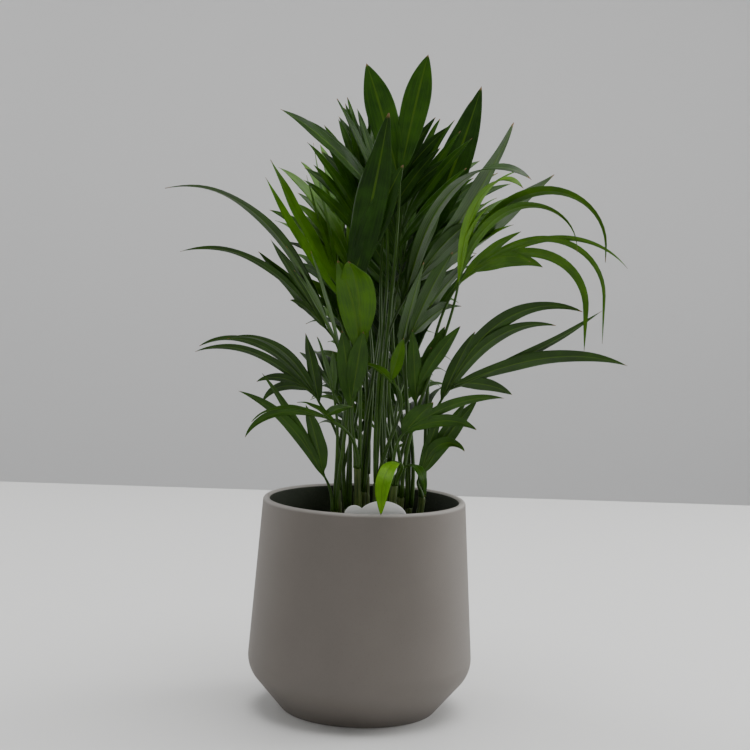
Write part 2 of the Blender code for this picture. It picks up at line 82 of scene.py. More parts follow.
# %% [markdown]
# ## Small helpers for meshes and nodes
#
# Every piece below is a mesh worked out in code. A leaf shows lines that run from root to tip, so
# its mesh carries a map named blade: the first number runs across the blade and the second along
# it. A second map, OFBake, lays the same faces side by side without overlaps for an export.

# %% Build a mesh piece
MM = 0.001
DOWN = Vector((0, 0, -1))


def make_piece(name, points, faces, materials, slots=None, maps=None, smooth=True):
    """An object from points and faces, with a material slot and map places for each face."""
    mesh = bpy.data.meshes.new(name)
    mesh.from_pydata([tuple(point) for point in points], [], faces)
    for finish in materials:
        mesh.materials.append(finish)
    if slots:
        mesh.polygons.foreach_set("material_index", slots)
    for label, corners in (maps or {}).items():
        layer = mesh.uv_layers.new(name=label)
        layer.data.foreach_set("uv", [value for corner in corners for value in corner])
    mesh.polygons.foreach_set("use_smooth", [smooth] * len(mesh.polygons))
    mesh.update()
    made = bpy.data.objects.new(name, mesh)
    scene.collection.objects.link(made)
    return made


def dress(piece, slot, *nodes):
    """The piece stands for these solids, which it hides, and hangs from the root. The slot is not
    used.
    """
    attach(piece, "root")
    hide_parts(*nodes)
    return piece


print("a unit of the tables is", MM, "m, and down is", tuple(DOWN))


# %% Build a material from nodes
class Recipe:
    """A short way to write a node tree: each call adds one node and links its inputs."""

    def __init__(self, tree):
        self.tree = tree

    def add(self, kind, inputs=None, **settings):
        node = self.tree.nodes.new(kind)
        for key, value in settings.items():
            setattr(node, key, value)
        for key, value in (inputs or {}).items():
            if isinstance(value, bpy.types.NodeSocket):
                self.tree.links.new(value, node.inputs[key])
            else:
                node.inputs[key].default_value = value
        return node

    def math(self, operation, *values):
        return self.add("ShaderNodeMath", dict(enumerate(values)), operation=operation).outputs[0]

    def fade(self, value, low, high):
        """0 below low, 1 above high, and a soft step between them."""
        node = self.add("ShaderNodeMapRange", {0: value, 1: low, 2: high},
                        interpolation_type="SMOOTHSTEP")
        return node.outputs[0]

    def blend(self, share, first, second):
        node = self.add("ShaderNodeMix", {0: share, 6: first, 7: second}, data_type="RGBA")
        return node.outputs[2]

    def noise(self, where, scale, detail=3.0):
        node = self.add("ShaderNodeTexNoise", {"Vector": where, "Scale": scale, "Detail": detail})
        return node.outputs[0]


def new_group(name, inputs, outputs):
    """An empty shader node group with named inputs (name, start value) and named outputs."""
    tree = bpy.data.node_groups.new(name, "ShaderNodeTree")
    for label, start in inputs:
        socket = tree.interface.new_socket(label, in_out="INPUT", socket_type="NodeSocketFloat")
        socket.default_value = start
    for label in outputs:
        tree.interface.new_socket(label, in_out="OUTPUT", socket_type="NodeSocketFloat")
    recipe = Recipe(tree)
    return recipe, recipe.add("NodeGroupInput"), recipe.add("NodeGroupOutput")


def new_material(name, **values):
    """A material with its Principled shader and plain values on the shader's own sockets."""
    made = bpy.data.materials.new(name)
    made.use_nodes = True
    shader = made.node_tree.nodes["Principled BSDF"]
    for label, value in values.items():
        shader.inputs[label.replace("_", " ")].default_value = value
    return made, Recipe(made.node_tree), shader


def colour(red, green, blue):
    return (red, green, blue, 1.0)


print("materials at the start", len(bpy.data.materials))


# %% [markdown]
# ## Shared effects
#
# Leaves and stalks both show lines along their length, and pot, mix and card all show a fine
# grain. Each effect is built once as a node group and placed in the materials with other values.

# %% The lengthwise veins of a leaf
# The side of a blade runs from 0 at its middle to 0.5 at its edge, and the streaks are noise that
# is drawn out along it. The last two give where the dry tip sets in and how ragged it is.
LINE_CREST = (0.1, 1.0)
MIDRIB_EDGE = (0.018, 0.050)
STREAKS_ACROSS, STREAKS_ALONG, STREAK_NOISE = 26.0, 2.2, 1.6
MOTTLE_EDGE = (0.36, 0.64)
LINE_RELIEF = 0.5
DRY_EDGE = (-0.004, 0.012)
DRY_RAGGED = 0.05


def put_out(recipe, out, values):
    """Links the values that a group puts out, and gives its tree."""
    for label, value in values.items():
        recipe.tree.links.new(value, out.inputs[label])
    return recipe.tree


def make_vein_group():
    """Lines beside the midrib, the midrib, the dry tip, mottling, and the relief of them all."""
    recipe, given, out = new_group(
        "lengthwise veins",
        (("Veins", 9.0), ("Mottle Scale", 70.0), ("Dry From", 0.975)),
        ("Lines", "Midrib", "Dry Tip", "Mottle", "Relief"))
    place = recipe.add("ShaderNodeUVMap", uv_map="blade").outputs[0]
    parts = recipe.add("ShaderNodeSeparateXYZ", {0: place})
    across, along = parts.outputs[0], parts.outputs[1]
    side = recipe.math("ABSOLUTE", recipe.math("SUBTRACT", across, 0.5))
    turns = recipe.math("MULTIPLY", recipe.math("MULTIPLY", side, math.tau), given.outputs["Veins"])
    lines = recipe.fade(recipe.math("SINE", turns), *LINE_CREST)
    midrib = recipe.math("SUBTRACT", 1.0, recipe.fade(side, *MIDRIB_EDGE))
    where = recipe.add("ShaderNodeTexCoord").outputs["Object"]
    mottle = recipe.noise(where, given.outputs["Mottle Scale"])
    drawn_out = recipe.add("ShaderNodeCombineXYZ", {
        0: recipe.math("MULTIPLY", across, STREAKS_ACROSS),
        1: recipe.math("MULTIPLY", along, STREAKS_ALONG)})
    streaks = recipe.noise(drawn_out.outputs[0], STREAK_NOISE)
    mixed = recipe.math("MULTIPLY", recipe.math("ADD", mottle, streaks), 0.5)
    ragged = recipe.math("MULTIPLY", recipe.math("SUBTRACT", streaks, 0.5), DRY_RAGGED)
    start = recipe.math("ADD", given.outputs["Dry From"], ragged)
    dry = recipe.fade(recipe.math("SUBTRACT", along, start), *DRY_EDGE)
    relief = recipe.math("ADD", recipe.math("MULTIPLY", lines, LINE_RELIEF), midrib)
    return put_out(recipe, out, {"Lines": lines, "Midrib": midrib, "Dry Tip": dry,
                                 "Mottle": recipe.fade(mixed, *MOTTLE_EDGE), "Relief": relief})


VEINS = make_vein_group()
print("group", VEINS.name)

# %% The fine grain of pot, mix and card
CLOUD_EDGE = (0.3, 0.7)
SPECK_EDGE = (0.0, 0.06)
SPECK_LEVEL, SPECK_DROP = 0.72, 0.3
GRAIN_RELIEF = 0.6


def make_grain_group():
    """Soft clouds and fine specks, and the relief they make together."""
    recipe, given, out = new_group(
        "fine grain", (("Cloud Scale", 14.0), ("Speck Scale", 900.0), ("Speck Share", 0.3)),
        ("Clouds", "Specks", "Relief"))
    where = recipe.add("ShaderNodeTexCoord").outputs["Object"]
    clouds = recipe.noise(where, given.outputs["Cloud Scale"], 4.0)
    fine = recipe.noise(where, given.outputs["Speck Scale"], 2.0)
    drop = recipe.math("MULTIPLY", given.outputs["Speck Share"], SPECK_DROP)
    level = recipe.math("SUBTRACT", SPECK_LEVEL, drop)
    specks = recipe.fade(recipe.math("SUBTRACT", fine, level), *SPECK_EDGE)
    relief = recipe.math("ADD", recipe.math("MULTIPLY", fine, GRAIN_RELIEF), specks)
    return put_out(recipe, out, {"Clouds": recipe.fade(clouds, *CLOUD_EDGE), "Specks": specks,
                                 "Relief": relief})


GRAIN = make_grain_group()
print("group", GRAIN.name)

# %% [markdown]
# ## The leaf greens
#
# One green would look like plastic. The four greens are partly the blades' own tones and partly
# painted light and shade: the bright yellow green is painted backlight on blades that let light
# through, and the deep green is painted shade on fronds in shade. All are glossy and paler
# underneath, and the underside's grey is partly painted sheen. Each frond is dealt one of four
# greens. The veins, the pale midrib and the brown tip come from the shared group.

# %% Mix the greens
# Each green is a dark and a light colour and the share of light that passes through the blade.
GREENS_WITH_PAINTED_LIGHT = {
    # Painted shade: the deep green stands for fronds that lie in shade.
    "deep": (colour(0.006, 0.024, 0.0004), colour(0.018, 0.060, 0.001), 0.05),
    "green": (colour(0.011, 0.042, 0.0006), colour(0.032, 0.098, 0.002), 0.10),
    "fresh": (colour(0.028, 0.090, 0.001), colour(0.070, 0.180, 0.003), 0.16),
    # Painted backlight: the bright green stands for blades lit from behind.
    "bright": (colour(0.070, 0.190, 0.003), colour(0.150, 0.330, 0.007), 0.26),
}
MIDRIB_GREEN = colour(0.080, 0.160, 0.010)
DRY_BROWN = colour(0.190, 0.110, 0.045)
# The underside is paler, and this grey also stands for a painted sheen.
UNDERSIDE_GREY_AND_SHEEN = colour(0.075, 0.130, 0.035)
UNDERSIDE_AND_SHEEN_SHARE, LINE_SHARE, MIDRIB_SHARE = 0.18, 0.30, 0.55
LEAF_GLOSS = 0.16
LEAF_ROUGHNESS = (0.30, 0.46)
LEAF_RELIEF = (0.35, 0.0003)


def relief_of(recipe, shader, height, relief):
    """A bump of a strength and a height in metres on the shader."""
    bump = recipe.add("ShaderNodeBump", {"Height": height, "Strength": relief[0],
                                         "Distance": relief[1]}).outputs[0]
    recipe.tree.links.new(bump, shader.inputs["Normal"])
    return bump


def leaf_material(tone, under):
    """The upper or the under face of a leaflet in one of the greens."""
    dark, light, glow = GREENS_WITH_PAINTED_LIGHT[tone]
    name = f"{tone} leaf {'underside' if under else 'upper face'}"
    made, recipe, shader = new_material(name, Specular_IOR_Level=LEAF_GLOSS)
    veins = recipe.add("ShaderNodeGroup", node_tree=VEINS).outputs
    base = recipe.blend(veins["Mottle"], dark, light)
    if under:
        base = recipe.blend(UNDERSIDE_AND_SHEEN_SHARE, base, UNDERSIDE_GREY_AND_SHEEN)
    base = recipe.blend(recipe.math("MULTIPLY", veins["Lines"], LINE_SHARE), base, light)
    base = recipe.blend(recipe.math("MULTIPLY", veins["Midrib"], MIDRIB_SHARE), base, MIDRIB_GREEN)
    base = recipe.blend(veins["Dry Tip"], base, DRY_BROWN)
    links = made.node_tree.links
    links.new(base, shader.inputs["Base Color"])
    rough = recipe.add("ShaderNodeMapRange", {0: veins["Mottle"], 3: LEAF_ROUGHNESS[0],
                                              4: LEAF_ROUGHNESS[1]})
    links.new(rough.outputs[0], shader.inputs["Roughness"])
    bump = relief_of(recipe, shader, veins["Relief"], LEAF_RELIEF)
    through = recipe.add("ShaderNodeBsdfTranslucent", {"Color": light, "Normal": bump})
    both = recipe.add("ShaderNodeMixShader", {0: glow, 1: shader.outputs[0],
                                              2: through.outputs[0]})
    links.new(both.outputs[0], made.node_tree.nodes["Material Output"].inputs["Surface"])
    return made


LEAF_FINISHES = {tone: (leaf_material(tone, False), leaf_material(tone, True)) for tone in GREENS_WITH_PAINTED_LIGHT}
print("greens", list(LEAF_FINISHES))

# %% [markdown]
# ## Stalk, cane, pot, mix and card
#
# All of these are two near colours in soft patches, with fine marks of a third. A stalk is smooth
# and mid green with paler lines. A cane is wrapped in old sheaths that dry to straw in lines.
# The pot's glaze is matte and nearly even. Its inside has a finish of its own, whose green-black is
# painted shade.

# %% Finish the stalks and canes
# A stalk has no dry tip, so its dry part would only begin beyond its end.
STALK_VEINS = {"Veins": 7.0, "Mottle Scale": 45.0, "Dry From": 2.0}
STALK_LINE_SHARE, STALK_GLOSS, STALK_RELIEF = 0.45, 0.2, (0.3, 0.0002)


def two_tone(name, effect, settings, masks, share, colours, relief, **values):
    """Soft patches of two colours under fine marks of a third, which stand out a little."""
    made, recipe, shader = new_material(name, **values)
    given = recipe.add("ShaderNodeGroup", settings, node_tree=effect).outputs
    patches, marks, height = (given[mask] for mask in masks)
    dark, light, mark = (colour(*tone) for tone in colours)
    base = recipe.blend(patches, dark, light)
    base = recipe.blend(recipe.math("MULTIPLY", marks, share), base, mark)
    recipe.tree.links.new(base, shader.inputs["Base Color"])
    relief_of(recipe, shader, height, relief)
    return made


def veined(name, rough, *colours):
    """The finish of a stalk or a sheath."""
    return two_tone(name, VEINS, STALK_VEINS, ("Mottle", "Lines", "Lines"), STALK_LINE_SHARE,
                    colours, STALK_RELIEF, Roughness=rough, Specular_IOR_Level=STALK_GLOSS)


STALK_GREEN = veined("stalk green", 0.42, (0.010, 0.032, 0.002), (0.028, 0.075, 0.004),
                     (0.080, 0.160, 0.020))
SHEATH_GREEN = veined("sheath green", 0.55, (0.020, 0.042, 0.006), (0.060, 0.100, 0.016),
                      (0.130, 0.140, 0.045))
print("finishes", STALK_GREEN.name, "and", SHEATH_GREEN.name)

# %% Finish the pot, the mix and the card
GRAIN_SHARE, GRAIN_GLOSS, GRAIN_STRENGTH = 0.5, 0.35, 0.5
# Painted light: the paler colour laid over the lip's top, where light from above falls.
LIP_PAINTED_LIGHT = colour(0.300, 0.282, 0.262)
LIP_FROM, LIP_FULL = 0.1672, 0.1696


def grained(name, rough, grain, height, *colours):
    """A grained finish: the grain's cloud scale, speck scale and speck share, and its height."""
    settings = dict(zip(("Cloud Scale", "Speck Scale", "Speck Share"), grain))
    return two_tone(name, GRAIN, settings, ("Clouds", "Specks", "Relief"), GRAIN_SHARE, colours,
                    (GRAIN_STRENGTH, height), Roughness=rough, Specular_IOR_Level=GRAIN_GLOSS)


def paint_light_on_lip(made):
    """Painted light: the top of the lip is made paler, where light from above falls on it."""
    recipe = Recipe(made.node_tree)
    shader = made.node_tree.nodes["Principled BSDF"]
    plain = shader.inputs["Base Color"].links[0].from_socket
    where = recipe.add("ShaderNodeTexCoord").outputs["Object"]
    height = recipe.add("ShaderNodeSeparateXYZ", {0: where}).outputs[2]
    base = recipe.blend(recipe.fade(height, LIP_FROM, LIP_FULL), plain, LIP_PAINTED_LIGHT)
    made.node_tree.links.new(base, shader.inputs["Base Color"])


GLAZE = grained("matte taupe glaze", 0.56, (9.0, 1400.0, 0.35), 0.00012,
                (0.140, 0.124, 0.109), (0.158, 0.141, 0.125), (0.112, 0.099, 0.087))
paint_light_on_lip(GLAZE)
# Painted shade: the inside of the pot is coloured green-black for the shade that falls in it.
INNER_PAINTED_SHADE = grained("inner wall painted shade", 0.80, (14.0, 900.0, 0.5), 0.0003,
                     (0.010, 0.016, 0.006), (0.015, 0.023, 0.008), (0.030, 0.036, 0.018))
MIX = grained("damp potting mix", 0.95, (60.0, 700.0, 0.9), 0.0015,
              (0.012, 0.008, 0.005), (0.035, 0.023, 0.014), (0.110, 0.085, 0.055))
BARK = grained("bark chip", 0.88, (110.0, 1200.0, 0.6), 0.0006,
               (0.045, 0.024, 0.013), (0.110, 0.062, 0.034), (0.180, 0.125, 0.080))
CARD = grained("white card", 0.50, (40.0, 1600.0, 0.3), 0.00004,
               (0.740, 0.740, 0.720), (0.800, 0.800, 0.785), (0.700, 0.700, 0.690))
print("finishes", len(bpy.data.materials))

# %% [markdown]
# ## The pot
#
# A turned pot is one outline spun round an axis. The outline is the solid's own: a flat foot, a
# cone, a wide rounded shoulder, a straight wall that leans in, and a lip rounded over half a
# circle. Here the arcs have many more steps, and the foot gets a shallow turned recess.

# %% The pot's sizes
POT_HEIGHT = 0.170
POT_RIM_RADIUS = 0.0812
POT_SHOULDER_RADIUS = 0.0906
POT_SHOULDER_HEIGHT = 0.0335
POT_SHOULDER_ROUNDING = 0.026
POT_FOOT_RADIUS = 0.0621
POT_FOOT_ROUNDING = 0.002
POT_WALL = 0.0056
POT_FLOOR = 0.008
POT_SEGMENTS = 160
ARC_STEPS = 14
LIP_STEPS = 14
BELOW_LIP = 0.005
FOOT_RECESS = 0.0012
FOOT_RING = 0.006
SOIL_TOP = 0.140
CLEARANCE = 0.0003
print("pot", round(2 * POT_SHOULDER_RADIUS, 3), "m wide and", POT_HEIGHT, "m high")


# %% Spin an outline
def circle(radius, height, count):
    """Points round the axis at one radius and height."""
    angles = [math.tau * index / count for index in range(count)]
    return [Vector((radius * math.cos(angle), radius * math.sin(angle), height))
            for angle in angles]


def bands(rings, sides, first=0):
    """The faces between closed rings of points, each with its ring and its side."""
    for ring in range(rings - 1):
        for side in range(sides):
            low, ahead = first + ring * sides, (side + 1) % sides
            yield ring, side, (low + side, low + ahead, low + sides + ahead, low + sides + side)


def revolve(name, outline, materials, slot_of, segments=POT_SEGMENTS):
    """A surface of revolution, closed at both ends on the axis."""
    points = [Vector((0, 0, outline[0][1]))]
    for radius, height in outline[1:-1]:
        points += circle(radius, height, segments)
    last = len(points)
    points.append(Vector((0, 0, outline[-1][1])))
    faces, slots = [], []
    for segment in range(segments):
        ahead = (segment + 1) % segments
        faces += [(0, 1 + ahead, 1 + segment),
                  (last, last - segments + segment, last - segments + ahead)]
        slots += [slot_of(0), slot_of(len(outline) - 2)]
    for ring, _, face in bands(len(outline) - 2, segments, 1):
        faces.append(face)
        slots.append(slot_of(ring + 1))
    return make_piece(name, points, faces, materials, slots)


print("circle of", len(circle(POT_RIM_RADIUS, POT_HEIGHT, POT_SEGMENTS)), "points")


# %% Turn the pot
def rounded_corner(before, corner, after, radius):
    """The points of an arc that rounds one corner of an outline of (radius, height) points."""
    before, corner, after = Vector(before), Vector(corner), Vector(after)
    back = (before - corner).normalized()
    ahead = (after - corner).normalized()
    half = back.angle(ahead) / 2
    start = corner + back * (radius / math.tan(half))
    end = corner + ahead * (radius / math.tan(half))
    middle = corner + (back + ahead).normalized() * (radius / math.sin(half))
    reach = (start - middle).length
    first, last = (start - middle) / reach, (end - middle) / reach
    return [middle + first.slerp(last, step / ARC_STEPS) * reach for step in range(ARC_STEPS + 1)]


def pot_outline():
    """The outline from the middle of the foot over the lip to the inner floor."""
    shoulder = (POT_SHOULDER_RADIUS, POT_SHOULDER_HEIGHT)
    rim = (POT_RIM_RADIUS, POT_HEIGHT)
    foot = (POT_FOOT_RADIUS, 0.0)
    ring = POT_FOOT_RADIUS - FOOT_RING
    outline = [Vector((0, FOOT_RECESS)), Vector((ring - FOOT_RECESS, FOOT_RECESS)),
               Vector((ring, 0))]
    outline += rounded_corner((0, 0), foot, shoulder, POT_FOOT_ROUNDING)
    outline += rounded_corner(foot, shoulder, rim, POT_SHOULDER_ROUNDING)
    lip = POT_WALL / 2
    for step in range(LIP_STEPS + 1):
        angle = math.pi * step / LIP_STEPS
        outline.append(Vector((POT_RIM_RADIUS - lip + lip * math.cos(angle),
                               POT_HEIGHT - lip + lip * math.sin(angle))))
    # The glaze stops a sixth of the lip's arc before the inner wall.
    glazed = len(outline) - 1 - LIP_STEPS // 6
    inner_shoulder = (POT_SHOULDER_RADIUS - POT_WALL, POT_SHOULDER_HEIGHT + POT_WALL / 2)
    inner_foot = (POT_FOOT_RADIUS - POT_WALL / 2, POT_FLOOR)
    inner_rim = (POT_RIM_RADIUS - POT_WALL, POT_HEIGHT)
    outline.append(Vector((POT_RIM_RADIUS - POT_WALL, POT_HEIGHT - BELOW_LIP)))
    outline += rounded_corner(inner_rim, inner_shoulder, inner_foot,
                              POT_SHOULDER_ROUNDING - POT_WALL)
    return outline + [Vector(inner_foot), Vector((0, POT_FLOOR))], glazed


def make_pot():
    outline, glazed = pot_outline()
    pot = revolve("cover_pot", outline, [GLAZE, INNER_PAINTED_SHADE], lambda ring: int(ring >= glazed))
    return dress(pot, "pot", "pot")


print("pot faces", len(make_pot().data.polygons))

# %% [markdown]
# ## The potting mix
#
# The mix is a dark lumpy surface with chips of bark on it. It is turned like the pot, and its top
# is then lifted into lumps. A few hundred small flat chips are scattered over it by a seeded rule
# and joined in one piece.

# %% Heap the mix
MIX_RINGS = 26
MIX_SPOKES = 110
MIX_WALL_DEPTH = 0.04
LUMP_HEIGHT = 0.0022
LUMP_SCALE = 95
FINE_LUMP_SHARE = 0.5
FINE_LUMP_SCALE = 3 * LUMP_SCALE
FINE_LUMP_SLICE = 0.2
FLAT_EDGE_POWER = 6


def inner_radius(height):
    """The radius of the pot's inner wall at a height."""
    below = POT_SHOULDER_HEIGHT + POT_WALL / 2
    share = (height - below) / (POT_HEIGHT - below)
    wide = POT_SHOULDER_RADIUS - POT_WALL
    return wide + (POT_RIM_RADIUS - POT_WALL - wide) * share


def mix_height(x, y):
    """The height of the mix above its flat top: lumps that die out toward the wall."""
    edge = 1 - (math.hypot(x, y) / inner_radius(SOIL_TOP)) ** FLAT_EDGE_POWER
    fine = FINE_LUMP_SHARE * noise(Vector((x, y, FINE_LUMP_SLICE)) * FINE_LUMP_SCALE)
    return LUMP_HEIGHT * edge * (noise(Vector((x, y, 0)) * LUMP_SCALE) + fine)


def make_mix():
    reach = inner_radius(SOIL_TOP) - 2 * CLEARANCE
    floor, side = POT_FLOOR + CLEARANCE, SOIL_TOP - MIX_WALL_DEPTH
    outline = [(0, floor), (POT_FOOT_RADIUS - POT_WALL, floor),
               (inner_radius(side) - 2 * CLEARANCE, side)]
    outline += [(reach * ring / MIX_RINGS, SOIL_TOP) for ring in reversed(range(MIX_RINGS + 1))]
    mix = revolve("potting_mix", outline, [MIX], lambda ring: 0, MIX_SPOKES)
    for corner in mix.data.vertices:
        if corner.co.z > SOIL_TOP - CLEARANCE:
            corner.co.z += mix_height(corner.co.x, corner.co.y)
    return dress(mix, "potting_mix", "potting_soil")


print("mix faces", len(make_mix().data.polygons))

# %% Scatter the bark
CHIP_SEED = 11
CHIP_COUNT = 420
CHIP_SIZE = (0.0022, 0.0062)
CHIP_WIDTHS, CHIP_DEPTHS = (0.4, 0.7), (0.18, 0.3)
CHIP_WORN_LONG, CHIP_WORN_WIDE = (0.7, 1.0), (0.6, 1.0)
CHIP_TIP = 0.5
CHIP_RAISED = 0.3
CHIP_FACES = ((3, 2, 1, 0), (4, 5, 6, 7), (0, 1, 5, 4), (1, 2, 6, 5), (2, 3, 7, 6), (3, 0, 4, 7))


def chip_points(pick, x, y):
    """The eight corners of one worn chip, tipped at random."""
    long = pick.uniform(*CHIP_SIZE)
    size = Vector((long, long * pick.uniform(*CHIP_WIDTHS), long * pick.uniform(*CHIP_DEPTHS))) / 2
    tip = Quaternion((pick.uniform(-1, 1), pick.uniform(-1, 1), 0.2),
                     pick.uniform(-CHIP_TIP, CHIP_TIP))
    spin = Quaternion((0, 0, 1), pick.uniform(0, math.tau))
    centre = Vector((x, y, SOIL_TOP + mix_height(x, y) + size.z * CHIP_RAISED))
    corners = []
    for up in (-1, 1):
        for along, across in ((-1, -1), (1, -1), (1, 1), (-1, 1)):
            worn = Vector((along * size.x * pick.uniform(*CHIP_WORN_LONG),
                           across * size.y * pick.uniform(*CHIP_WORN_WIDE), up * size.z))
            corners.append(centre + spin @ (tip @ worn))
    return corners


def make_chips():
    pick = random.Random(CHIP_SEED)
    points, faces = [], []
    reach = inner_radius(SOIL_TOP) - CHIP_SIZE[1]
    for _ in range(CHIP_COUNT):
        distance = reach * math.sqrt(pick.random())
        angle = pick.uniform(0, math.tau)
        faces += [tuple(len(points) + corner for corner in face) for face in CHIP_FACES]
        points += chip_points(pick, distance * math.cos(angle), distance * math.sin(angle))
    chips = make_piece("bark_chips", points, faces, [BARK], smooth=False)
    return dress(chips, "potting_mix", "potting_soil")


print("chips", len(make_chips().data.polygons) // len(CHIP_FACES))

# %% [markdown]
# ## The label
#
# The card stands in the mix behind the front lip, and only its two round humps show. It is blank.
# Its upper edge is the higher of two half ellipses on a straight shoulder, and it is softened.

# %% Cut the card
# Each hump is its middle across the card, its half width and its rise above the shoulder.
LABEL_MIDDLE = (0.009, -0.0665)
LABEL_THICKNESS = 0.0009
LABEL_SHOULDER = 0.166
LABEL_HUMPS = ((0.0055, 0.0185, 0.0124), (-0.0160, 0.0080, 0.0086))
LABEL_HALF_WIDTH = 0.024
CARD_STEPS = 64
CARD_EDGE = 0.0002


def label_top(across):
    """The height of the card's upper edge at a distance across from its middle."""
    rises = []
    for middle, half, rise in LABEL_HUMPS:
        rises.append(rise * math.sqrt(max(0.0, 1 - ((across - middle) / half) ** 2)))
    return LABEL_SHOULDER + max(rises)


def make_card():
    middle_x, middle_y = LABEL_MIDDLE
    foot = SOIL_TOP + CLEARANCE
    outline = [(-LABEL_HALF_WIDTH, foot), (LABEL_HALF_WIDTH, foot)]
    for step in range(CARD_STEPS + 1):
        across = LABEL_HALF_WIDTH * (1 - 2 * step / CARD_STEPS)
        outline.append((across, label_top(across)))
    count = len(outline)
    points = []
    for y in (middle_y - LABEL_THICKNESS / 2, middle_y + LABEL_THICKNESS / 2):
        points += [Vector((middle_x + x, y, z)) for x, z in outline]
    faces = [tuple(range(count)), tuple(reversed(range(count, 2 * count)))]
    for side in range(count):
        ahead = (side + 1) % count
        faces.append((side, side + count, ahead + count, ahead))
    card = make_piece("blank_label", points, faces, [CARD], smooth=False)
    bevel = card.modifiers.new("soft edge", "BEVEL")
    bevel.width = CARD_EDGE
    bevel.segments = 2
    return dress(card, "label", "plant_label")


print("card", make_card().name)

# %% [markdown]
# ## The canes
#
# Each seedling stands on a short cane wrapped in the sheaths of its older leaves. A sheath is
# widest at its upper edge, where the next one slips out of it, so the tube's radius rises along
# each sheath and drops at its end. The edge itself is cut at a slant.

# %% Stand the canes
CANE_COUNT = 14
CANES_PER_TURN = 137.5
CANE_FIELD = 0.036
CANE_MIDDLE = (0.008, -0.006)
CANE_FOOT_RADIUS = 0.0035
CANE_TOP_RADIUS = 0.0029
CANE_SHORTEST = 0.022
CANE_STEP = 0.012
CANE_LEAN = 0.10


def cane_line(index):
    """The foot and the top of one cane."""
    angle = math.radians(index * CANES_PER_TURN)
    distance = CANE_FIELD * math.sqrt((index + 0.5) / CANE_COUNT)
    outward = Vector((math.cos(angle), math.sin(angle), 0))
    foot = Vector((*CANE_MIDDLE, SOIL_TOP + CLEARANCE)) + outward * distance
    height = CANE_SHORTEST + CANE_STEP * ((index * 5) % 4)
    lean = outward * (CANE_LEAN * distance / CANE_FIELD)
    return foot, foot + (Vector((0, 0, 1)) + lean) * height


print("tallest cane's top", round(max(cane_line(i)[1].z for i in range(CANE_COUNT)), 3), "m")


# %% Tubes, and many shapes in one piece
def tube_rings(path, radii, sides, level=()):
    """The rings of a tube along a path, kept from twisting, with some rings level."""
    rings, across = [], Vector((1, 0, 0))
    for index, centre in enumerate(path):
        ahead = path[min(index + 1, len(path) - 1)] - path[max(index - 1, 0)]
        ahead = Vector((0, 0, 1)) if index in level else ahead.normalized()
        across = (across - ahead * across.dot(ahead)).normalized()
        other = ahead.cross(across)
        ring = []
        for side in range(sides):
            angle = math.tau * side / sides
            radius = radii[index](angle) if callable(radii[index]) else radii[index]
            ring.append(centre + (across * math.cos(angle) + other * math.sin(angle)) * radius)
        rings.append(ring)
    return rings


class Bundle:
    """Points, faces, slots and maps of many like shapes, to be joined in one piece.

    Each shape is a closed tube of rings and gets a strip of the whole map to itself, with a free
    margin at its side that holds its two caps.
    """

    MARGIN, END = 0.06, 0.01
    CORNERS = ((0, 0), (0, 1), (1, 1), (1, 0))

    def __init__(self, strips):
        self.points, self.faces, self.slots = [], [], []
        self.blade, self.own = [], []
        self.strips, self.used = strips, 0

    def add(self, rings, across, slots):
        """Adds a shape, with the place across the blade and the slot of each of its sides."""
        sides, first = len(rings[0]), len(self.points)
        self.points += [point for ring in rings for point in ring]
        for ring, side, face in bands(len(rings), sides, first):
            self.faces.append(face)
            self.slots.append(slots[side])
            for up, over in self.CORNERS:
                u, v = (side + over) / sides, (ring + up) / (len(rings) - 1)
                self.blade.append((across[side + over], v))
                self.own.append(self.spot(self.MARGIN + (1 - 2 * self.MARGIN) * u,
                                          self.END + (1 - 2 * self.END) * v))
        last = len(self.points) - sides
        for end, cap in enumerate((range(first + sides - 1, first - 1, -1),
                                   range(last, last + sides))):
            self.faces.append(tuple(cap))
            self.slots.append(slots[-1])
            self.blade += [(0.5, end)] * sides
            for x, y, _ in circle(self.END / 2, 0, sides):
                self.own.append(self.spot(self.MARGIN / 2 + x,
                                          self.END + (1 - 2 * self.END) * end + y))
        self.used += 1

    def spot(self, u, v):
        """A place in the shape's own strip of the whole map."""
        return (self.used + u) / self.strips, v

    def add_tube(self, path, radii, sides):
        across = [side / sides for side in range(sides + 1)]
        self.add(tube_rings(path, radii, sides), across, [0] * sides)

    def piece(self, name, materials):
        return make_piece(name, self.points, self.faces, materials, self.slots,
                          {"blade": self.blade, "OFBake": self.own})


print("a shape's strip is", 1 - 2 * Bundle.MARGIN, "wide of 1")

# %% Wrap the canes
CANE_RINGS = 30
CANE_ROUND = 14
SHEATHS = 3
SHEATH_FLARE = 0.14
SHEATH_SLANT = 0.12


def cane_radius(share, slant):
    """The radius of a sheathed cane at a share of its height and a turn round it."""
    plain = CANE_FOOT_RADIUS + (CANE_TOP_RADIUS - CANE_FOOT_RADIUS) * share
    place = (share * SHEATHS + slant) % 1.0
    return plain * (1 - SHEATH_FLARE + SHEATH_FLARE * place)


def make_canes():
    for index in range(CANE_COUNT):
        foot, top = cane_line(index)
        shares = [ring / CANE_RINGS for ring in range(CANE_RINGS + 1)]
        path = [foot.lerp(top, share) for share in shares]
        radii = [lambda angle, share=share: cane_radius(
            share, SHEATH_SLANT * math.cos(angle - index)) for share in shares]
        bundle = Bundle(1)
        bundle.add_tube(path, radii, CANE_ROUND)
        name = f"cane_{index + 1:02d}"
        dress(bundle.piece("sheathed_" + name, [SHEATH_GREEN]), "cane", name)


make_canes()
print("canes", CANE_COUNT)

# %% [markdown]
# ## The plan of the crown
#
# The fronds come from the same table and the same rule as the solids: where each blade begins,
# which way its rib runs, how it rolls, and how far each leaflet splays, reaches and droops. The
# first rows are the fronds seen from the front, and the tiers fill the back.

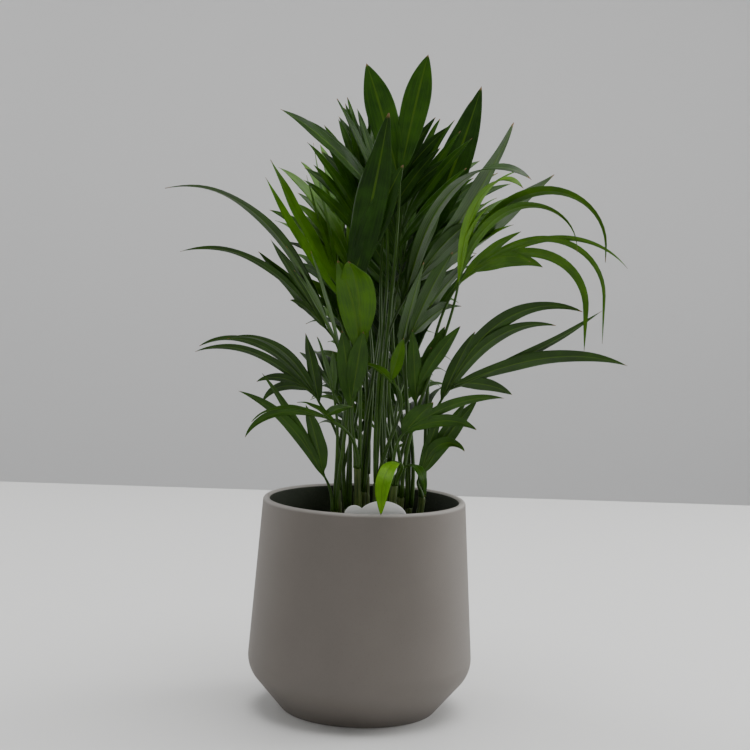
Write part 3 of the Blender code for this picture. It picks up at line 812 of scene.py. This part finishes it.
# %% The fronds seen from the front
# Each row gives a frond's name and green, the foot of its blade in mm, then azimuth, lean and roll
# in degrees, the rib's length in mm, where the leaflets are broadest along their length, and the
# leaflets from the rib's foot to its end, each as splay, length in mm, droop and width in mm.
FRONT_FRONDS = (
    ("top_fork", "green", (20, -8, 420), (90, 6, 0), 8, 0.60,
     ((-15, 100, 6, 24), (10, 98, 4, 22))),
    ("upper_right_blade", "deep", (32, 12, 360), (60, 22, 15), 14, 0.50,
     ((12, 158, -10, 30), (4, 146, 14, 9), (1, 86, 6, 14))),
    ("dark_right_fan", "deep", (24, -8, 326), (20, 30, -55), 26, 0.56,
     ((21, 98, 10, 20), (28, 186, 105, 24), (-12, 168, -16, 26), (-35, 186, -6, 27),
      (-11, 66, 20, 16))),
    ("arching_leaf", "bright", (68, -20, 344), (-8, 7, -30), 4, 0.45,
     ((6, 136, 118, 15), (2, 62, 40, 9))),
    ("right_fountain", "fresh", (66, -12, 340), (5, 30, -66), 16, 0.40,
     ((17, 196, 182, 10), (18, 152, 166, 10), (-24, 162, 85, 5), (-12, 64, 24, 9),
      (-20, 194, 188, 5), (-30, 172, 180, 8), (-28, 60, 60, 12), (-39, 70, 50, 14))),
    ("dark_right_mid", "deep", (24, -18, 290), (15, 36, -45), 16, 0.50,
     ((42, 82, 6, 19), (8, 92, 16, 23), (26, 80, 10, 21), (-16, 44, 20, 21))),
    ("left_long_arcs", "deep", (-30, -4, 300), (185, 42, 40), 16, 0.40,
     ((-26, 216, 72, 12), (-3, 84, 8, 15), (-16, 84, 6, 12), (-5, 134, 70, 8), (0, 28, 40, 9))),
    ("left_mid_blades", "green", (-22, -26, 286), (160, 26, 30), 10, 0.45,
     ((-44, 104, 6, 15), (10, 92, 10, 16), (30, 80, 12, 15))),
    ("upper_left_sprays", "deep", (8, 14, 406), (130, 22, 20), 14, 0.45,
     ((-57, 130, 20, 16), (-53, 102, 20, 10), (-23, 82, 6, 12), (-5, 68, 4, 12))),
    ("left_bright_blades", "fresh", (-20, 8, 324), (130, 26, 30), 22, 0.45,
     ((-61, 140, -12, 15), (-12, 104, -6, 10), (-49, 128, -8, 24), (8, 132, -8, 9),
      (34, 168, -6, 13))),
    ("centre_dark_fork", "deep", (-16, -34, 332), (75, 4, 0), 12, 0.50,
     ((11, 144, -4, 27), (20, 98, 6, 21))),
    ("front_bifid", "fresh", (-6, -52, 288), (-95, 12, 0), 10, 0.50,
     ((7, 80, 30, 23), (2, 78, 60, 27))),
    ("left_mid", "deep", (-38, -8, 246), (195, 30, 40), 12, 0.40,
     ((-22, 62, 6, 12), (-3, 98, 80, 11), (23, 112, 66, 9), (11, 110, 84, 9),
      (38, 52, 60, 9), (56, 52, 80, 8))),
    ("low_left_arch", "green", (-24, -56, 236), (190, 62, 30), 10, 0.45,
     ((-30, 44, 40, 8), (5, 66, 75, 9), (25, 74, 80, 9), (-96, 46, 20, 9))),
    ("low_left_long", "green", (-30, -22, 186), (180, 28, 70), 6, 0.40,
     ((2, 102, 44, 11), (1, 96, 10, 9), (-17, 58, 10, 15))),
    ("pale_centre_leaf", "fresh", (22, -40, 264), (200, 40, 30), 6, 0.45,
     ((-1, 36, 60, 9), (-52, 50, 6, 10))),
    ("hanging_leaf", "bright", (26, -52, 206), (180, 70, 0), 4, 0.55,
     ((-69, 64, 150, 12),)),
    ("right_low", "deep", (58, -6, 250), (-10, 30, -52), 18, 0.42,
     ((11, 64, 10, 12), (1, 114, 70, 13), (6, 142, 86, 14), (-42, 146, -12, 10),
      (-43, 158, 40, 13), (-65, 56, 30, 11))),
    ("right_low_front", "green", (28, -36, 226), (-30, 40, -40), 8, 0.45,
     ((0, 38, 10, 18), (-32, 58, 60, 12), (-21, 80, 40, 10))),
    ("low_right_small", "green", (42, -18, 188), (-15, 20, -60), 10, 0.50,
     ((5, 60, 4, 9), (-12, 76, 10, 14), (-8, 68, 8, 9), (3, 48, 130, 11))),
    ("small_rim_leaf", "green", (34, -34, 202), (-20, 75, 0), 3, 0.45,
     ((48, 46, 110, 7),)),
    ("centre_right_upright", "green", (38, -20, 248), (-70, 10, 0), 16, 0.45,
     ((8, 62, 4, 12), (-9, 42, 6, 16), (-16, 56, 8, 13), (-28, 58, 10, 12))),
    ("centre_left_fork", "green", (-12, -44, 246), (-90, 8, 0), 8, 0.50,
     ((7, 62, 6, 16), (-7, 56, 6, 16))),
    ("left_low_upright", "green", (-26, -26, 252), (210, 14, 0), 8, 0.45,
     ((5, 50, 6, 10), (-21, 38, 4, 10), (53, 50, 14, 10))),
)
print("leaflets in front", sum(len(row[-1]) for row in FRONT_FRONDS))

# %% The tiers that fill the back
# Name, count, the blade foot's height and distance from the middle, lean, rib length, leaflet
# length and width, droop, first and last azimuth.
BACK_TIERS = (
    ("back_top", 3, 0.375, 0.024, 14, 0.034, 0.078, 0.017, 16, 60, 120),
    ("back_high", 5, 0.325, 0.036, 30, 0.050, 0.104, 0.018, 34, 52, 124),
    ("back_middle", 5, 0.270, 0.042, 40, 0.050, 0.112, 0.016, 52, 60, 120),
    ("back_low", 5, 0.222, 0.044, 50, 0.040, 0.086, 0.013, 60, 56, 124),
)
BACK_TONES = ("green", "deep", "green", "fresh")
BACK_PAIRS = 3
BACK_SPLAYS = (40, 14)
BACK_BELLY = 0.45
BACK_ROLL = 12
BACK_RISE = 0.010
END_PAIR_SHARE = 0.80
MIDDLE_PAIR_GAIN = 0.35
UNEVENNESS = 0.06


def front_fronds():
    fronds = []
    for name, tone, foot, angles, rib, belly, leaflets in FRONT_FRONDS:
        fronds.append({"name": name, "tone": tone, "foot": Vector(foot) * MM, "angles": angles,
                       "rib": rib * MM, "belly": belly, "leaflets": leaflets, "back": False})
    return fronds


def back_fronds():
    """Pinnate fronds in tiers, set out evenly round the back of the crown."""
    fronds = []
    for tier in BACK_TIERS:
        name, count, height, out, lean, rib, length, width, droop, first, last = tier
        for index in range(count):
            share = index / (count - 1)
            azimuth = first + (last - first) * share
            turn = math.radians(azimuth)
            rise = BACK_RISE * ((index * 2) % 3 - 1)
            foot = Vector((CANE_MIDDLE[0] + out * math.cos(turn), out * math.sin(turn),
                           height + rise))
            leaflets = []
            for pair in range(BACK_PAIRS):
                along = pair / (BACK_PAIRS - 1)
                splay = BACK_SPLAYS[0] + (BACK_SPLAYS[1] - BACK_SPLAYS[0]) * along
                fuller = math.sin(math.pi * (1 + 2 * along) / 4)
                reach = length * (END_PAIR_SHARE + MIDDLE_PAIR_GAIN * fuller)
                for side in (-1, 1):
                    longer = 1 + UNEVENNESS * side * (-1) ** index
                    leaflets.append((side * splay, reach * longer / MM, droop, width / MM))
            fronds.append({"name": f"{name}_{index + 1}", "foot": foot,
                           "tone": BACK_TONES[len(fronds) % len(BACK_TONES)],
                           "angles": (azimuth, lean, BACK_ROLL * ((index % 3) - 1)), "rib": rib,
                           "belly": BACK_BELLY, "leaflets": tuple(leaflets), "back": True})
    return fronds


print("fronds in front and behind", len(front_fronds()), len(back_fronds()))

# %% [markdown]
# ## The line and the width of a leaflet
#
# A leaflet leaves its rib at a splay, then bends toward the ground, more and more toward its tip.
# It widens along a sine to its belly and narrows along a cosine to its tip. The solid has only a
# few cross-sections, and the thin blade that is shown has many on the same line.

# %% Follow a frond's lines
LEAFLET_STEPS = 12
BEND_POWER = 1.7
WIDTH_AT_ROOT = 0.25
TIP_ROUNDNESS = 0.85
RIB_STEPS = 2


def blade_axes(azimuth, lean, roll):
    """Along the rib, across the blade, and out of its upper face."""
    turn, tilt, twist = (math.radians(angle) for angle in (azimuth, lean, roll))
    along = Vector((math.sin(tilt) * math.cos(turn), math.sin(tilt) * math.sin(turn),
                    math.cos(tilt)))
    across = Vector((math.sin(turn), -math.cos(turn), 0))
    upper = across.cross(along)
    spin = Quaternion(along, twist)
    return along, spin @ across, spin @ upper


def rib_line(frond):
    """The rib's points and the blade's axes."""
    along, across, upper = blade_axes(*frond["angles"])
    foot = frond["foot"]
    path = [foot + along * frond["rib"] * step / RIB_STEPS for step in range(RIB_STEPS + 1)]
    return path, along, across, upper


def drooping_line(root, heading, upper, length, droop, steps=LEAFLET_STEPS):
    """Points, headings and upper normals of a line that bends toward the ground."""
    place, heading, upper = root.copy(), heading.copy(), upper.copy()
    places, headings, uppers = [place.copy()], [heading.copy()], [upper.copy()]
    for step in range(steps):
        ahead = ((step + 1) / steps) ** BEND_POWER - (step / steps) ** BEND_POWER
        bend = min(math.radians(droop) * ahead, heading.angle(DOWN))
        axis = heading.cross(DOWN).normalized()
        place = place + (Quaternion(axis, bend / 2) @ heading) * (length / steps)
        heading = Quaternion(axis, bend) @ heading
        upper = Quaternion(axis, bend) @ upper
        places.append(place)
        headings.append(heading)
        uppers.append(upper)
    return places, headings, uppers


def leaflet_line(frond, root, angle, depth, reach, droop, steps=LEAFLET_STEPS):
    """The line of a leaflet that leaves the rib at an angle and leans back by a share."""
    _, along, across, upper = rib_line(frond)
    heading = along * math.cos(angle) + across * math.sin(angle)
    heading = (heading + Vector((0, depth, 0))).normalized()
    face = (upper - heading * upper.dot(heading)).normalized()
    return drooping_line(root, heading, face, reach, droop, steps)


def blade_width(share, belly):
    """The share of a leaflet's width at a share of its length."""
    if share < belly:
        return WIDTH_AT_ROOT + (1 - WIDTH_AT_ROOT) * math.sin(math.pi / 2 * share / belly)
    return math.cos(math.pi / 2 * (share - belly) / (1 - belly)) ** TIP_ROUNDNESS


print("width halfway", round(blade_width(0.5, BACK_BELLY), 2))

# %% The solid of a leaflet
# Its blade has a cross-section at some of the steps of its line.
SHORT_STATIONS = (0, 3, 8)
STIFF_STATIONS = (0, 2, 5, 9)
BENT_STATIONS = (0, 2, 4, 6, 8, 10)
SHORT_BELOW = 0.070
BENT_FROM = 70
ROOT_HALF_WIDTH = 0.0013
ROOT_SUNK = 0.0012
LEAFLET_FOLD = 0.12
THICKNESS_SHARE = 0.010
KEEL_DEPTH = 0.0006
KEEL_AT_ENDS = 0.35


def stations_of(length, droop):
    """The steps of a leaflet's line at which its blade has a cross-section."""
    if droop >= BENT_FROM:
        return BENT_STATIONS
    return SHORT_STATIONS if length < SHORT_BELOW else STIFF_STATIONS


def leaflet_mesh(line, length, droop, width, belly, grow=0.0):
    """A folded blade: three points at each station and one at the tip."""
    places, headings, uppers = line
    stations = stations_of(length, droop)
    fold = LEAFLET_FOLD * width / 2
    thick = max(THICKNESS_SHARE * length - fold, KEEL_DEPTH)
    points = []
    for station in stations:
        wide = blade_width(station / LEAFLET_STEPS, belly)
        half = max(width / 2 * wide, ROOT_HALF_WIDTH) + grow
        centre = places[station]
        if station == 0:
            half = ROOT_HALF_WIDTH + grow
            centre = centre - headings[0] * ROOT_SUNK
        across = headings[station].cross(uppers[station])
        lift = uppers[station] * (LEAFLET_FOLD * half + grow)
        keel = thick * (KEEL_AT_ENDS + (1 - KEEL_AT_ENDS) * wide) + grow
        points += [centre - across * half + lift, centre + across * half + lift,
                   centre - uppers[station] * keel]
    points.append(places[-1] + headings[-1] * grow)
    tip = len(points) - 1
    faces = [(0, 2, 1), (tip - 3, tip - 2, tip), (tip - 2, tip - 1, tip), (tip - 1, tip - 3, tip)]
    return points, faces + [face for _, _, face in bands(len(stations), 3)]


print("a short leaflet has", 3 * len(SHORT_STATIONS) + 1, "points")

# %% [markdown]
# ## Room for every frond
#
# Solids must not touch, so each limb and leaflet is tested against all that stand already. Where
# one is barred it leans, turns or bows aside by the next small step, and a leaflet with no room is
# left out. The steps are tried in the same order as for the solids, which gives the same plant.

# %% Keep clear of other fronds
# The shares by which a leaflet leans back or forward, the degrees by which it turns in its blade
# and the shares of its length, then the distances in mm by which a stalk bows aside.
DEPTH_NUDGES = (0, 0.07, -0.07, 0.14, -0.14, 0.22, -0.22, 0.32, -0.32)
TURN_NUDGES = (0, 6, -6, 12, -12, 20, -20)
LENGTH_NUDGES = (1.0, 0.82, 0.66)
STALK_BOWS = (6, 12, 18, 25)
BOW_DIRECTIONS = 8


def box_of(points):
    low = [min(point[k] for point in points) for k in range(3)]
    high = [max(point[k] for point in points) for k in range(3)]
    return low, high


class Crown:
    """What has been placed so far, so that each new piece keeps clear of other fronds."""

    def __init__(self):
        self.placed = []

    def add(self, owner, points, faces):
        self.placed.append((owner, box_of(points), BVHTree.FromPolygons(points, faces)))

    def touches(self, owner, points, faces):
        low, high = box_of(points)
        tree = BVHTree.FromPolygons(points, faces)
        for other, (other_low, other_high), other_tree in self.placed:
            if other == owner:
                continue
            if any(low[k] > other_high[k] or high[k] < other_low[k] for k in range(3)):
                continue
            if tree.overlap(other_tree):
                return True
        return False


def stalk_bows():
    """The sideways bows that a stalk may take, the straightest first."""
    bows = [(0.0, 0.0)]
    for size in STALK_BOWS:
        for direction in range(BOW_DIRECTIONS):
            angle = math.tau * direction / BOW_DIRECTIONS
            bows.append((size * math.cos(angle), size * math.sin(angle)))
    return bows


print("bows that a stalk may take", len(stalk_bows()))

# %% Share out the canes
STALKS_PER_CANE = 3
STALK_SPACING = 0.0018
LEAST_STALK = 0.010
STEEP_COST = 4


def choose_canes(fronds):
    """Give each frond the nearest cane that has room, the lowest fronds choosing first."""
    room = {index: STALKS_PER_CANE for index in range(CANE_COUNT)}
    chosen = {}
    for frond in sorted(fronds, key=lambda item: item["foot"].z):
        def distance(index):
            top = cane_line(index)[1]
            steep = max(0.0, top.z + LEAST_STALK - frond["foot"].z)
            return (top - frond["foot"]).to_2d().length + STEEP_COST * steep
        best = min((index for index in room if room[index]), key=distance)
        room[best] -= 1
        chosen[frond["name"]] = (best, room[best])
    return chosen


def stalk_start(cane, place):
    """Where the stalk at one of a cane's places begins, just above the cane's top."""
    angle = math.tau * place / STALKS_PER_CANE + cane
    return cane_line(cane)[1] + Vector((STALK_SPACING * math.cos(angle),
                                        STALK_SPACING * math.sin(angle), CLEARANCE))


print("places for stalks", STALKS_PER_CANE * CANE_COUNT)

# %% Raise the stalks
# A stalk rises straight from its cane for a share of its span, and comes into its blade along the
# rib for another.
STALK_RISE = 0.4
STALK_LEAD_IN = 0.3
STALK_BOW_AT_BLADE = 0.6
STALK_RADIUS = 0.0012
RIB_END_RADIUS = 0.0008
STALK_SIDES = 3
STALK_STEPS = 5
CANE_SIDES = 6


def tube_mesh(path, radii, sides, level):
    """Points and faces of a closed tube."""
    points = [point for ring in tube_rings(path, radii, sides, level) for point in ring]
    faces = [face for _, _, face in bands(len(path), sides)]
    faces += [tuple(reversed(range(sides))), tuple(range(len(points) - sides, len(points)))]
    return points, faces


def cane_mesh(index, grow):
    """A cane's points and faces, cut level at both ends."""
    radii = [CANE_FOOT_RADIUS + grow, CANE_TOP_RADIUS + grow]
    return tube_mesh(cane_line(index), radii, CANE_SIDES, (0, 1))


def stalk_path(start, foot, along, nudge, steps=STALK_STEPS):
    """A stalk that leaves its cane upright and meets the blade in the rib's direction."""
    span = (foot - start).length
    sideways = Vector((nudge[0] * MM, nudge[1] * MM, 0))
    first = start + Vector((0, 0, 1)) * span * STALK_RISE + sideways
    second = foot - along * span * STALK_LEAD_IN + sideways * STALK_BOW_AT_BLADE
    path = []
    for step in range(steps):
        t = step / steps
        path.append(start * (1 - t) ** 3 + first * 3 * t * (1 - t) ** 2
                    + second * 3 * t * t * (1 - t) + foot * t ** 3)
    return path


def limb_mesh(start, frond, nudge, grow=0.0):
    """The stalk and the rib of a frond as one tapering tube."""
    rib, along = rib_line(frond)[:2]
    path = stalk_path(start, frond["foot"], along, nudge) + rib
    radii = []
    for index in range(len(path)):
        share = max(0.0, (index - STALK_STEPS) / RIB_STEPS)
        radii.append(STALK_RADIUS + (RIB_END_RADIUS - STALK_RADIUS) * share + grow)
    return tube_mesh(path, radii, STALK_SIDES, (0,))


def place_limb(crown, frond, cane, place):
    """Where the frond's stalk starts, and how it bows aside for the limbs placed before."""
    start = stalk_start(cane, place)
    for nudge in stalk_bows():
        if not crown.touches(frond["name"], *limb_mesh(start, frond, nudge, CLEARANCE)):
            break
    crown.add(frond["name"], *limb_mesh(start, frond, nudge))
    return start, nudge


print("points of a stalk's path", STALK_STEPS + RIB_STEPS + 1)

# %% Set the leaflets
# The back of the crown spreads this far left and right at a height: narrow at the stems, opening
# under the upper leaves, and drawn in again toward the top.
BACK_SPREAD = (
    (0.16, -0.042, 0.055),
    (0.33, -0.048, 0.075),
    (0.37, -0.072, 0.110),
    (0.43, -0.084, 0.120),
    (0.50, -0.015, 0.085),
)
def spread_at(height):
    """How far left and right the back of the crown spreads at a height."""
    for below, above in zip(BACK_SPREAD, BACK_SPREAD[1:]):
        if height < above[0]:
            break
    share = min(max((height - below[0]) / (above[0] - below[0]), 0.0), 1.0)
    return [low + (high - low) * share for low, high in zip(below[1:], above[1:])]


def outside_spread(points):
    """Whether any point lies beyond the back's spread at its height."""
    for point in points:
        left, right = spread_at(point.z)
        if not left < point.x < right:
            return True
    return False


def place_leaflet(crown, frond, index):
    """Root, splay, depth, reach, droop and width of a leaflet that touches no other frond."""
    splay, length, droop, width = frond["leaflets"][index]
    along = rib_line(frond)[1]
    root = frond["foot"] + along * frond["rib"] * (index / max(len(frond["leaflets"]) - 1, 1))
    for shorter in LENGTH_NUDGES:
        for turn in TURN_NUDGES:
            for depth in DEPTH_NUDGES:
                angle = math.radians(splay + turn)
                reach = length * shorter * MM
                line = leaflet_line(frond, root, angle, depth, reach, droop)
                shape = (line, reach, droop, width * MM, frond["belly"])
                points, faces = leaflet_mesh(*shape, grow=CLEARANCE)
                if frond["back"] and outside_spread(points):
                    continue
                if not crown.touches(frond["name"], points, faces):
                    crown.add(frond["name"], *leaflet_mesh(*shape))
                    return root, angle, depth, reach, droop, width * MM
    return None


print("spread 0.40 m up", [round(reach, 3) for reach in spread_at(0.40)])

# %% [markdown]
# ## Thin leaflets
#
# A palm leaflet is a long pleated blade: a shallow V with a midrib and raised lines beside it,
# thinner than card. Each one is a closed sheet, with an upper and an under side, along the line
# that the rule gives. It twists a little, and its edges wave.

# %% Shape one leaflet
FINE_STEPS = 30
WIDE_BLADE = 0.014
NARROW_ACROSS, WIDE_ACROSS = 9, 17
BLADE_THICKNESS = 0.00018
MIDRIB_DEPTH, MIDRIB_HALF, MIDRIB_FADE = 0.0005, 0.0011, 0.8
PLEAT, PLEAT_FULL_HALF = 0.00016, 0.004
FINE_FOLD, FOLD_ROUNDING = 0.20, 0.35
PETIOLE_HALF, TIP_HALF = 0.0009, 0.00006
ROOT_NARROW, ROOT_WIDENS = 0.22, 7
TWIST = 16
WAVE_SHARES = (0.01, 0.035)
WAVES, WAVE_SHIFT, WAVE_SETS_IN = 2.6, 1.7, 8


def leaflet_rings(line, width, belly, pick):
    """The upper and lower rings of points of one leaflet."""
    across_count = WIDE_ACROSS if width >= WIDE_BLADE else NARROW_ACROSS
    twist = math.radians(pick.uniform(-TWIST, TWIST))
    phase = pick.uniform(0, math.tau)
    wave = width * pick.uniform(*WAVE_SHARES)
    top, bottom = [], []
    for ring, (place, heading, upper) in enumerate(zip(*line)):
        share = ring / FINE_STEPS
        half = width / 2 * blade_width(share, belly) * min(1.0, ROOT_NARROW + share * ROOT_WIDENS)
        half = max(half, PETIOLE_HALF * (1 - share), TIP_HALF)
        turn = Quaternion(heading, twist * share)
        across, out = turn @ heading.cross(upper), turn @ upper
        upper_ring, lower_ring = [], []
        for index in range(across_count):
            side = 2 * index / (across_count - 1) - 1
            ridge = PLEAT * (1 if index % 2 else -1) * min(1.0, half / PLEAT_FULL_HALF)
            ripple = wave * side ** 2 * math.sin(
                phase + math.tau * WAVES * share + (side > 0) * WAVE_SHIFT)
            fold = FINE_FOLD * half * (abs(side) - FOLD_ROUNDING * side * side)
            rise = fold + ridge + ripple * min(1, WAVE_SETS_IN * share)
            midrib = max(0.0, 1 - abs(side) * half / MIDRIB_HALF) * (1 - MIDRIB_FADE * share)
            point = place + across * half * side + out * rise
            upper_ring.append(point)
            lower_ring.append(point - out * (BLADE_THICKNESS + MIDRIB_DEPTH * midrib))
        top.append(upper_ring)
        bottom.append(lower_ring)
    return top, bottom


def add_leaflet(bundle, top, bottom):
    """Adds one closed leaflet to a bundle: upper face in slot 0, under face and edges in 1."""
    count = len(top[0])
    loops = [upper + lower[::-1] for upper, lower in zip(top, bottom)]
    across = [index / (count - 1) for index in range(count)]
    bundle.add(loops, across + across[::-1] + [0.0], [0] * (count - 1) + [1] * (count + 1))


print("points of a wide leaflet", 2 * WIDE_ACROSS * (FINE_STEPS + 1))


# %% [markdown]
# ## Growing the fronds
#
# A frond in the back tiers has six coarse leaflets as a solid. Here each of them becomes two
# narrower ones, side by side, so the back looks as fine as a feather palm does. The fronds in
# front keep their own leaflets, because the photograph shows each one.

# %% Split the leaflets at the back
SPLIT_SPREAD = 5.5
SPLIT_WIDTH = 0.66
SPLIT_SHIFT = 0.07
SPLIT_SHORTER = 0.03


def fine_leaflets(frond, chosen):
    """The fine leaflets, as (line, width), that stand for the one that the rule chose."""
    root, angle, depth, reach, droop, width = chosen
    if not frond["back"]:
        yield leaflet_line(frond, root, angle, depth, reach, droop, FINE_STEPS), width
        return
    along = rib_line(frond)[1]
    for split in (-1, 1):
        place = root + along * (split * frond["rib"] * SPLIT_SHIFT)
        yield (leaflet_line(frond, place, angle + math.radians(split * SPLIT_SPREAD), depth,
                            reach * (1 - SPLIT_SHORTER * max(split, 0)), droop, FINE_STEPS),
               width * SPLIT_WIDTH)


print("the two lie", 2 * SPLIT_SPREAD, "degrees apart")

# %% Round the stalks
STALK_FOOT_RADIUS = 0.0017
STALK_TOP_RADIUS = 0.0010
RIB_TIP_RADIUS = 0.0006
STALK_RINGS = 22
RIB_RINGS = 6
STALK_ROUND = 8


def stalk_centres(start, frond, nudge):
    """A smooth path up the stalk and along the rib, and its radii."""
    rib, along = rib_line(frond)[:2]
    path = stalk_path(start, frond["foot"], along, nudge, STALK_RINGS)
    path += [rib[0].lerp(rib[-1], step / RIB_RINGS) for step in range(RIB_RINGS + 1)]
    radii = []
    for index in range(len(path)):
        up, out = min(1, index / STALK_RINGS), max(0, (index - STALK_RINGS) / RIB_RINGS)
        radii.append(STALK_FOOT_RADIUS + (STALK_TOP_RADIUS - STALK_FOOT_RADIUS) * up
                     + (RIB_TIP_RADIUS - STALK_TOP_RADIUS) * out)
    return path, radii


print("rings of a stalk", STALK_RINGS + RIB_RINGS + 1)


# %% Grow stalks and leaflets
def grow_leaflets(crown, frond):
    """Dresses one frond in its leaflets and counts them."""
    pick = random.Random(frond["name"])
    chosen = [place_leaflet(crown, frond, index) for index in range(len(frond["leaflets"]))]
    blades = [blade for one in filter(None, chosen) for blade in fine_leaflets(frond, one)]
    bundle = Bundle(len(blades))
    for line, width in blades:
        add_leaflet(bundle, *leaflet_rings(line, width, frond["belly"], pick))
    leaves = bundle.piece("leaflets_" + frond["name"], LEAF_FINISHES[frond["tone"]])
    dress(leaves, "foliage", "frond_" + frond["name"])
    return len(blades)


def grow():
    """Places the canes, then every stalk, then every leaflet, as the rule of the solids does."""
    fronds = front_fronds() + back_fronds()
    canes = choose_canes(fronds)
    crown = Crown()
    for index in range(CANE_COUNT):
        crown.add(f"cane {index}", *cane_mesh(index, CLEARANCE))
    bows = [place_limb(crown, frond, *canes[frond["name"]]) for frond in fronds]
    stalks = Bundle(len(fronds))
    for frond, (start, nudge) in zip(fronds, bows):
        stalks.add_tube(*stalk_centres(start, frond, nudge), STALK_ROUND)
    names = ["frond_" + frond["name"] for frond in fronds]
    dress(stalks.piece("stalks", [STALK_GREEN]), "foliage", *names)
    return len(fronds), sum(grow_leaflets(crown, frond) for frond in fronds)


print("fronds and leaflets", grow())

# %% [markdown]
# ## Floor, backdrop and light
#
# The plant stands on a plain pale floor in front of a round pale backdrop, which is wide enough
# that a camera on any side stays inside it. A soft panel above and behind the plant and one on
# each side light the edges, and nothing lights the front, so the pot is darkest in its middle.

# %% Set the floor and the backdrop
TABLE_HALF = 2.2
TABLE_EDGE = 1.12
WALL_RADIUS = 2.8
WALL_BELOW, WALL_ABOVE = -0.6, 3.4
WALL_SEGMENTS = 96


def make_stage():
    top, _, _ = new_material("pale tabletop", Base_Color=colour(0.72, 0.72, 0.71), Roughness=0.55)
    wall, _, _ = new_material("pale wall", Base_Color=colour(0.82, 0.82, 0.82), Roughness=0.9)
    corners = [Vector((-TABLE_HALF, -TABLE_HALF, 0)), Vector((TABLE_HALF, -TABLE_HALF, 0)),
               Vector((TABLE_HALF, TABLE_EDGE, 0)), Vector((-TABLE_HALF, TABLE_EDGE, 0))]
    make_piece("tabletop", corners, [(0, 1, 2, 3)], [top], smooth=False)
    points = (circle(WALL_RADIUS, WALL_ABOVE, WALL_SEGMENTS)
              + circle(WALL_RADIUS, WALL_BELOW, WALL_SEGMENTS))
    faces = [face for _, _, face in bands(2, WALL_SEGMENTS)]
    make_piece("round_wall", points, faces, [wall])


make_stage()
print("backdrop", WALL_RADIUS, "m away")

# %% Hang the lights
AIM = Vector((0, 0, 0.25))
SKY_COLOUR, SKY_STRENGTH = colour(0.96, 0.98, 1.0), 0.15
LIGHTS = (
    ("panel above", (0.25, 0.15, 2.1), 2.2, 58.0),
    ("panel at the right", (1.8, 0.7, 0.8), 1.2, 24.0),
    ("panel at the left", (-1.7, 0.9, 0.8), 1.0, 9.0),
)


def make_lights():
    world = bpy.data.worlds.new("soft light")
    scene.world = world
    world.use_nodes = True
    sky = world.node_tree.nodes["Background"]
    sky.inputs[0].default_value = SKY_COLOUR
    sky.inputs[1].default_value = SKY_STRENGTH
    for name, place, size, power in LIGHTS:
        data = bpy.data.lights.new(name, "AREA")
        data.shape = "DISK"
        data.size = size
        data.energy = power
        lamp = bpy.data.objects.new(name, data)
        scene.collection.objects.link(lamp)
        lamp.location = place
        lamp.rotation_mode = "QUATERNION"
        lamp.rotation_quaternion = (AIM - Vector(place)).to_track_quat("-Z", "Y")


make_lights()
print("lights", len(LIGHTS))
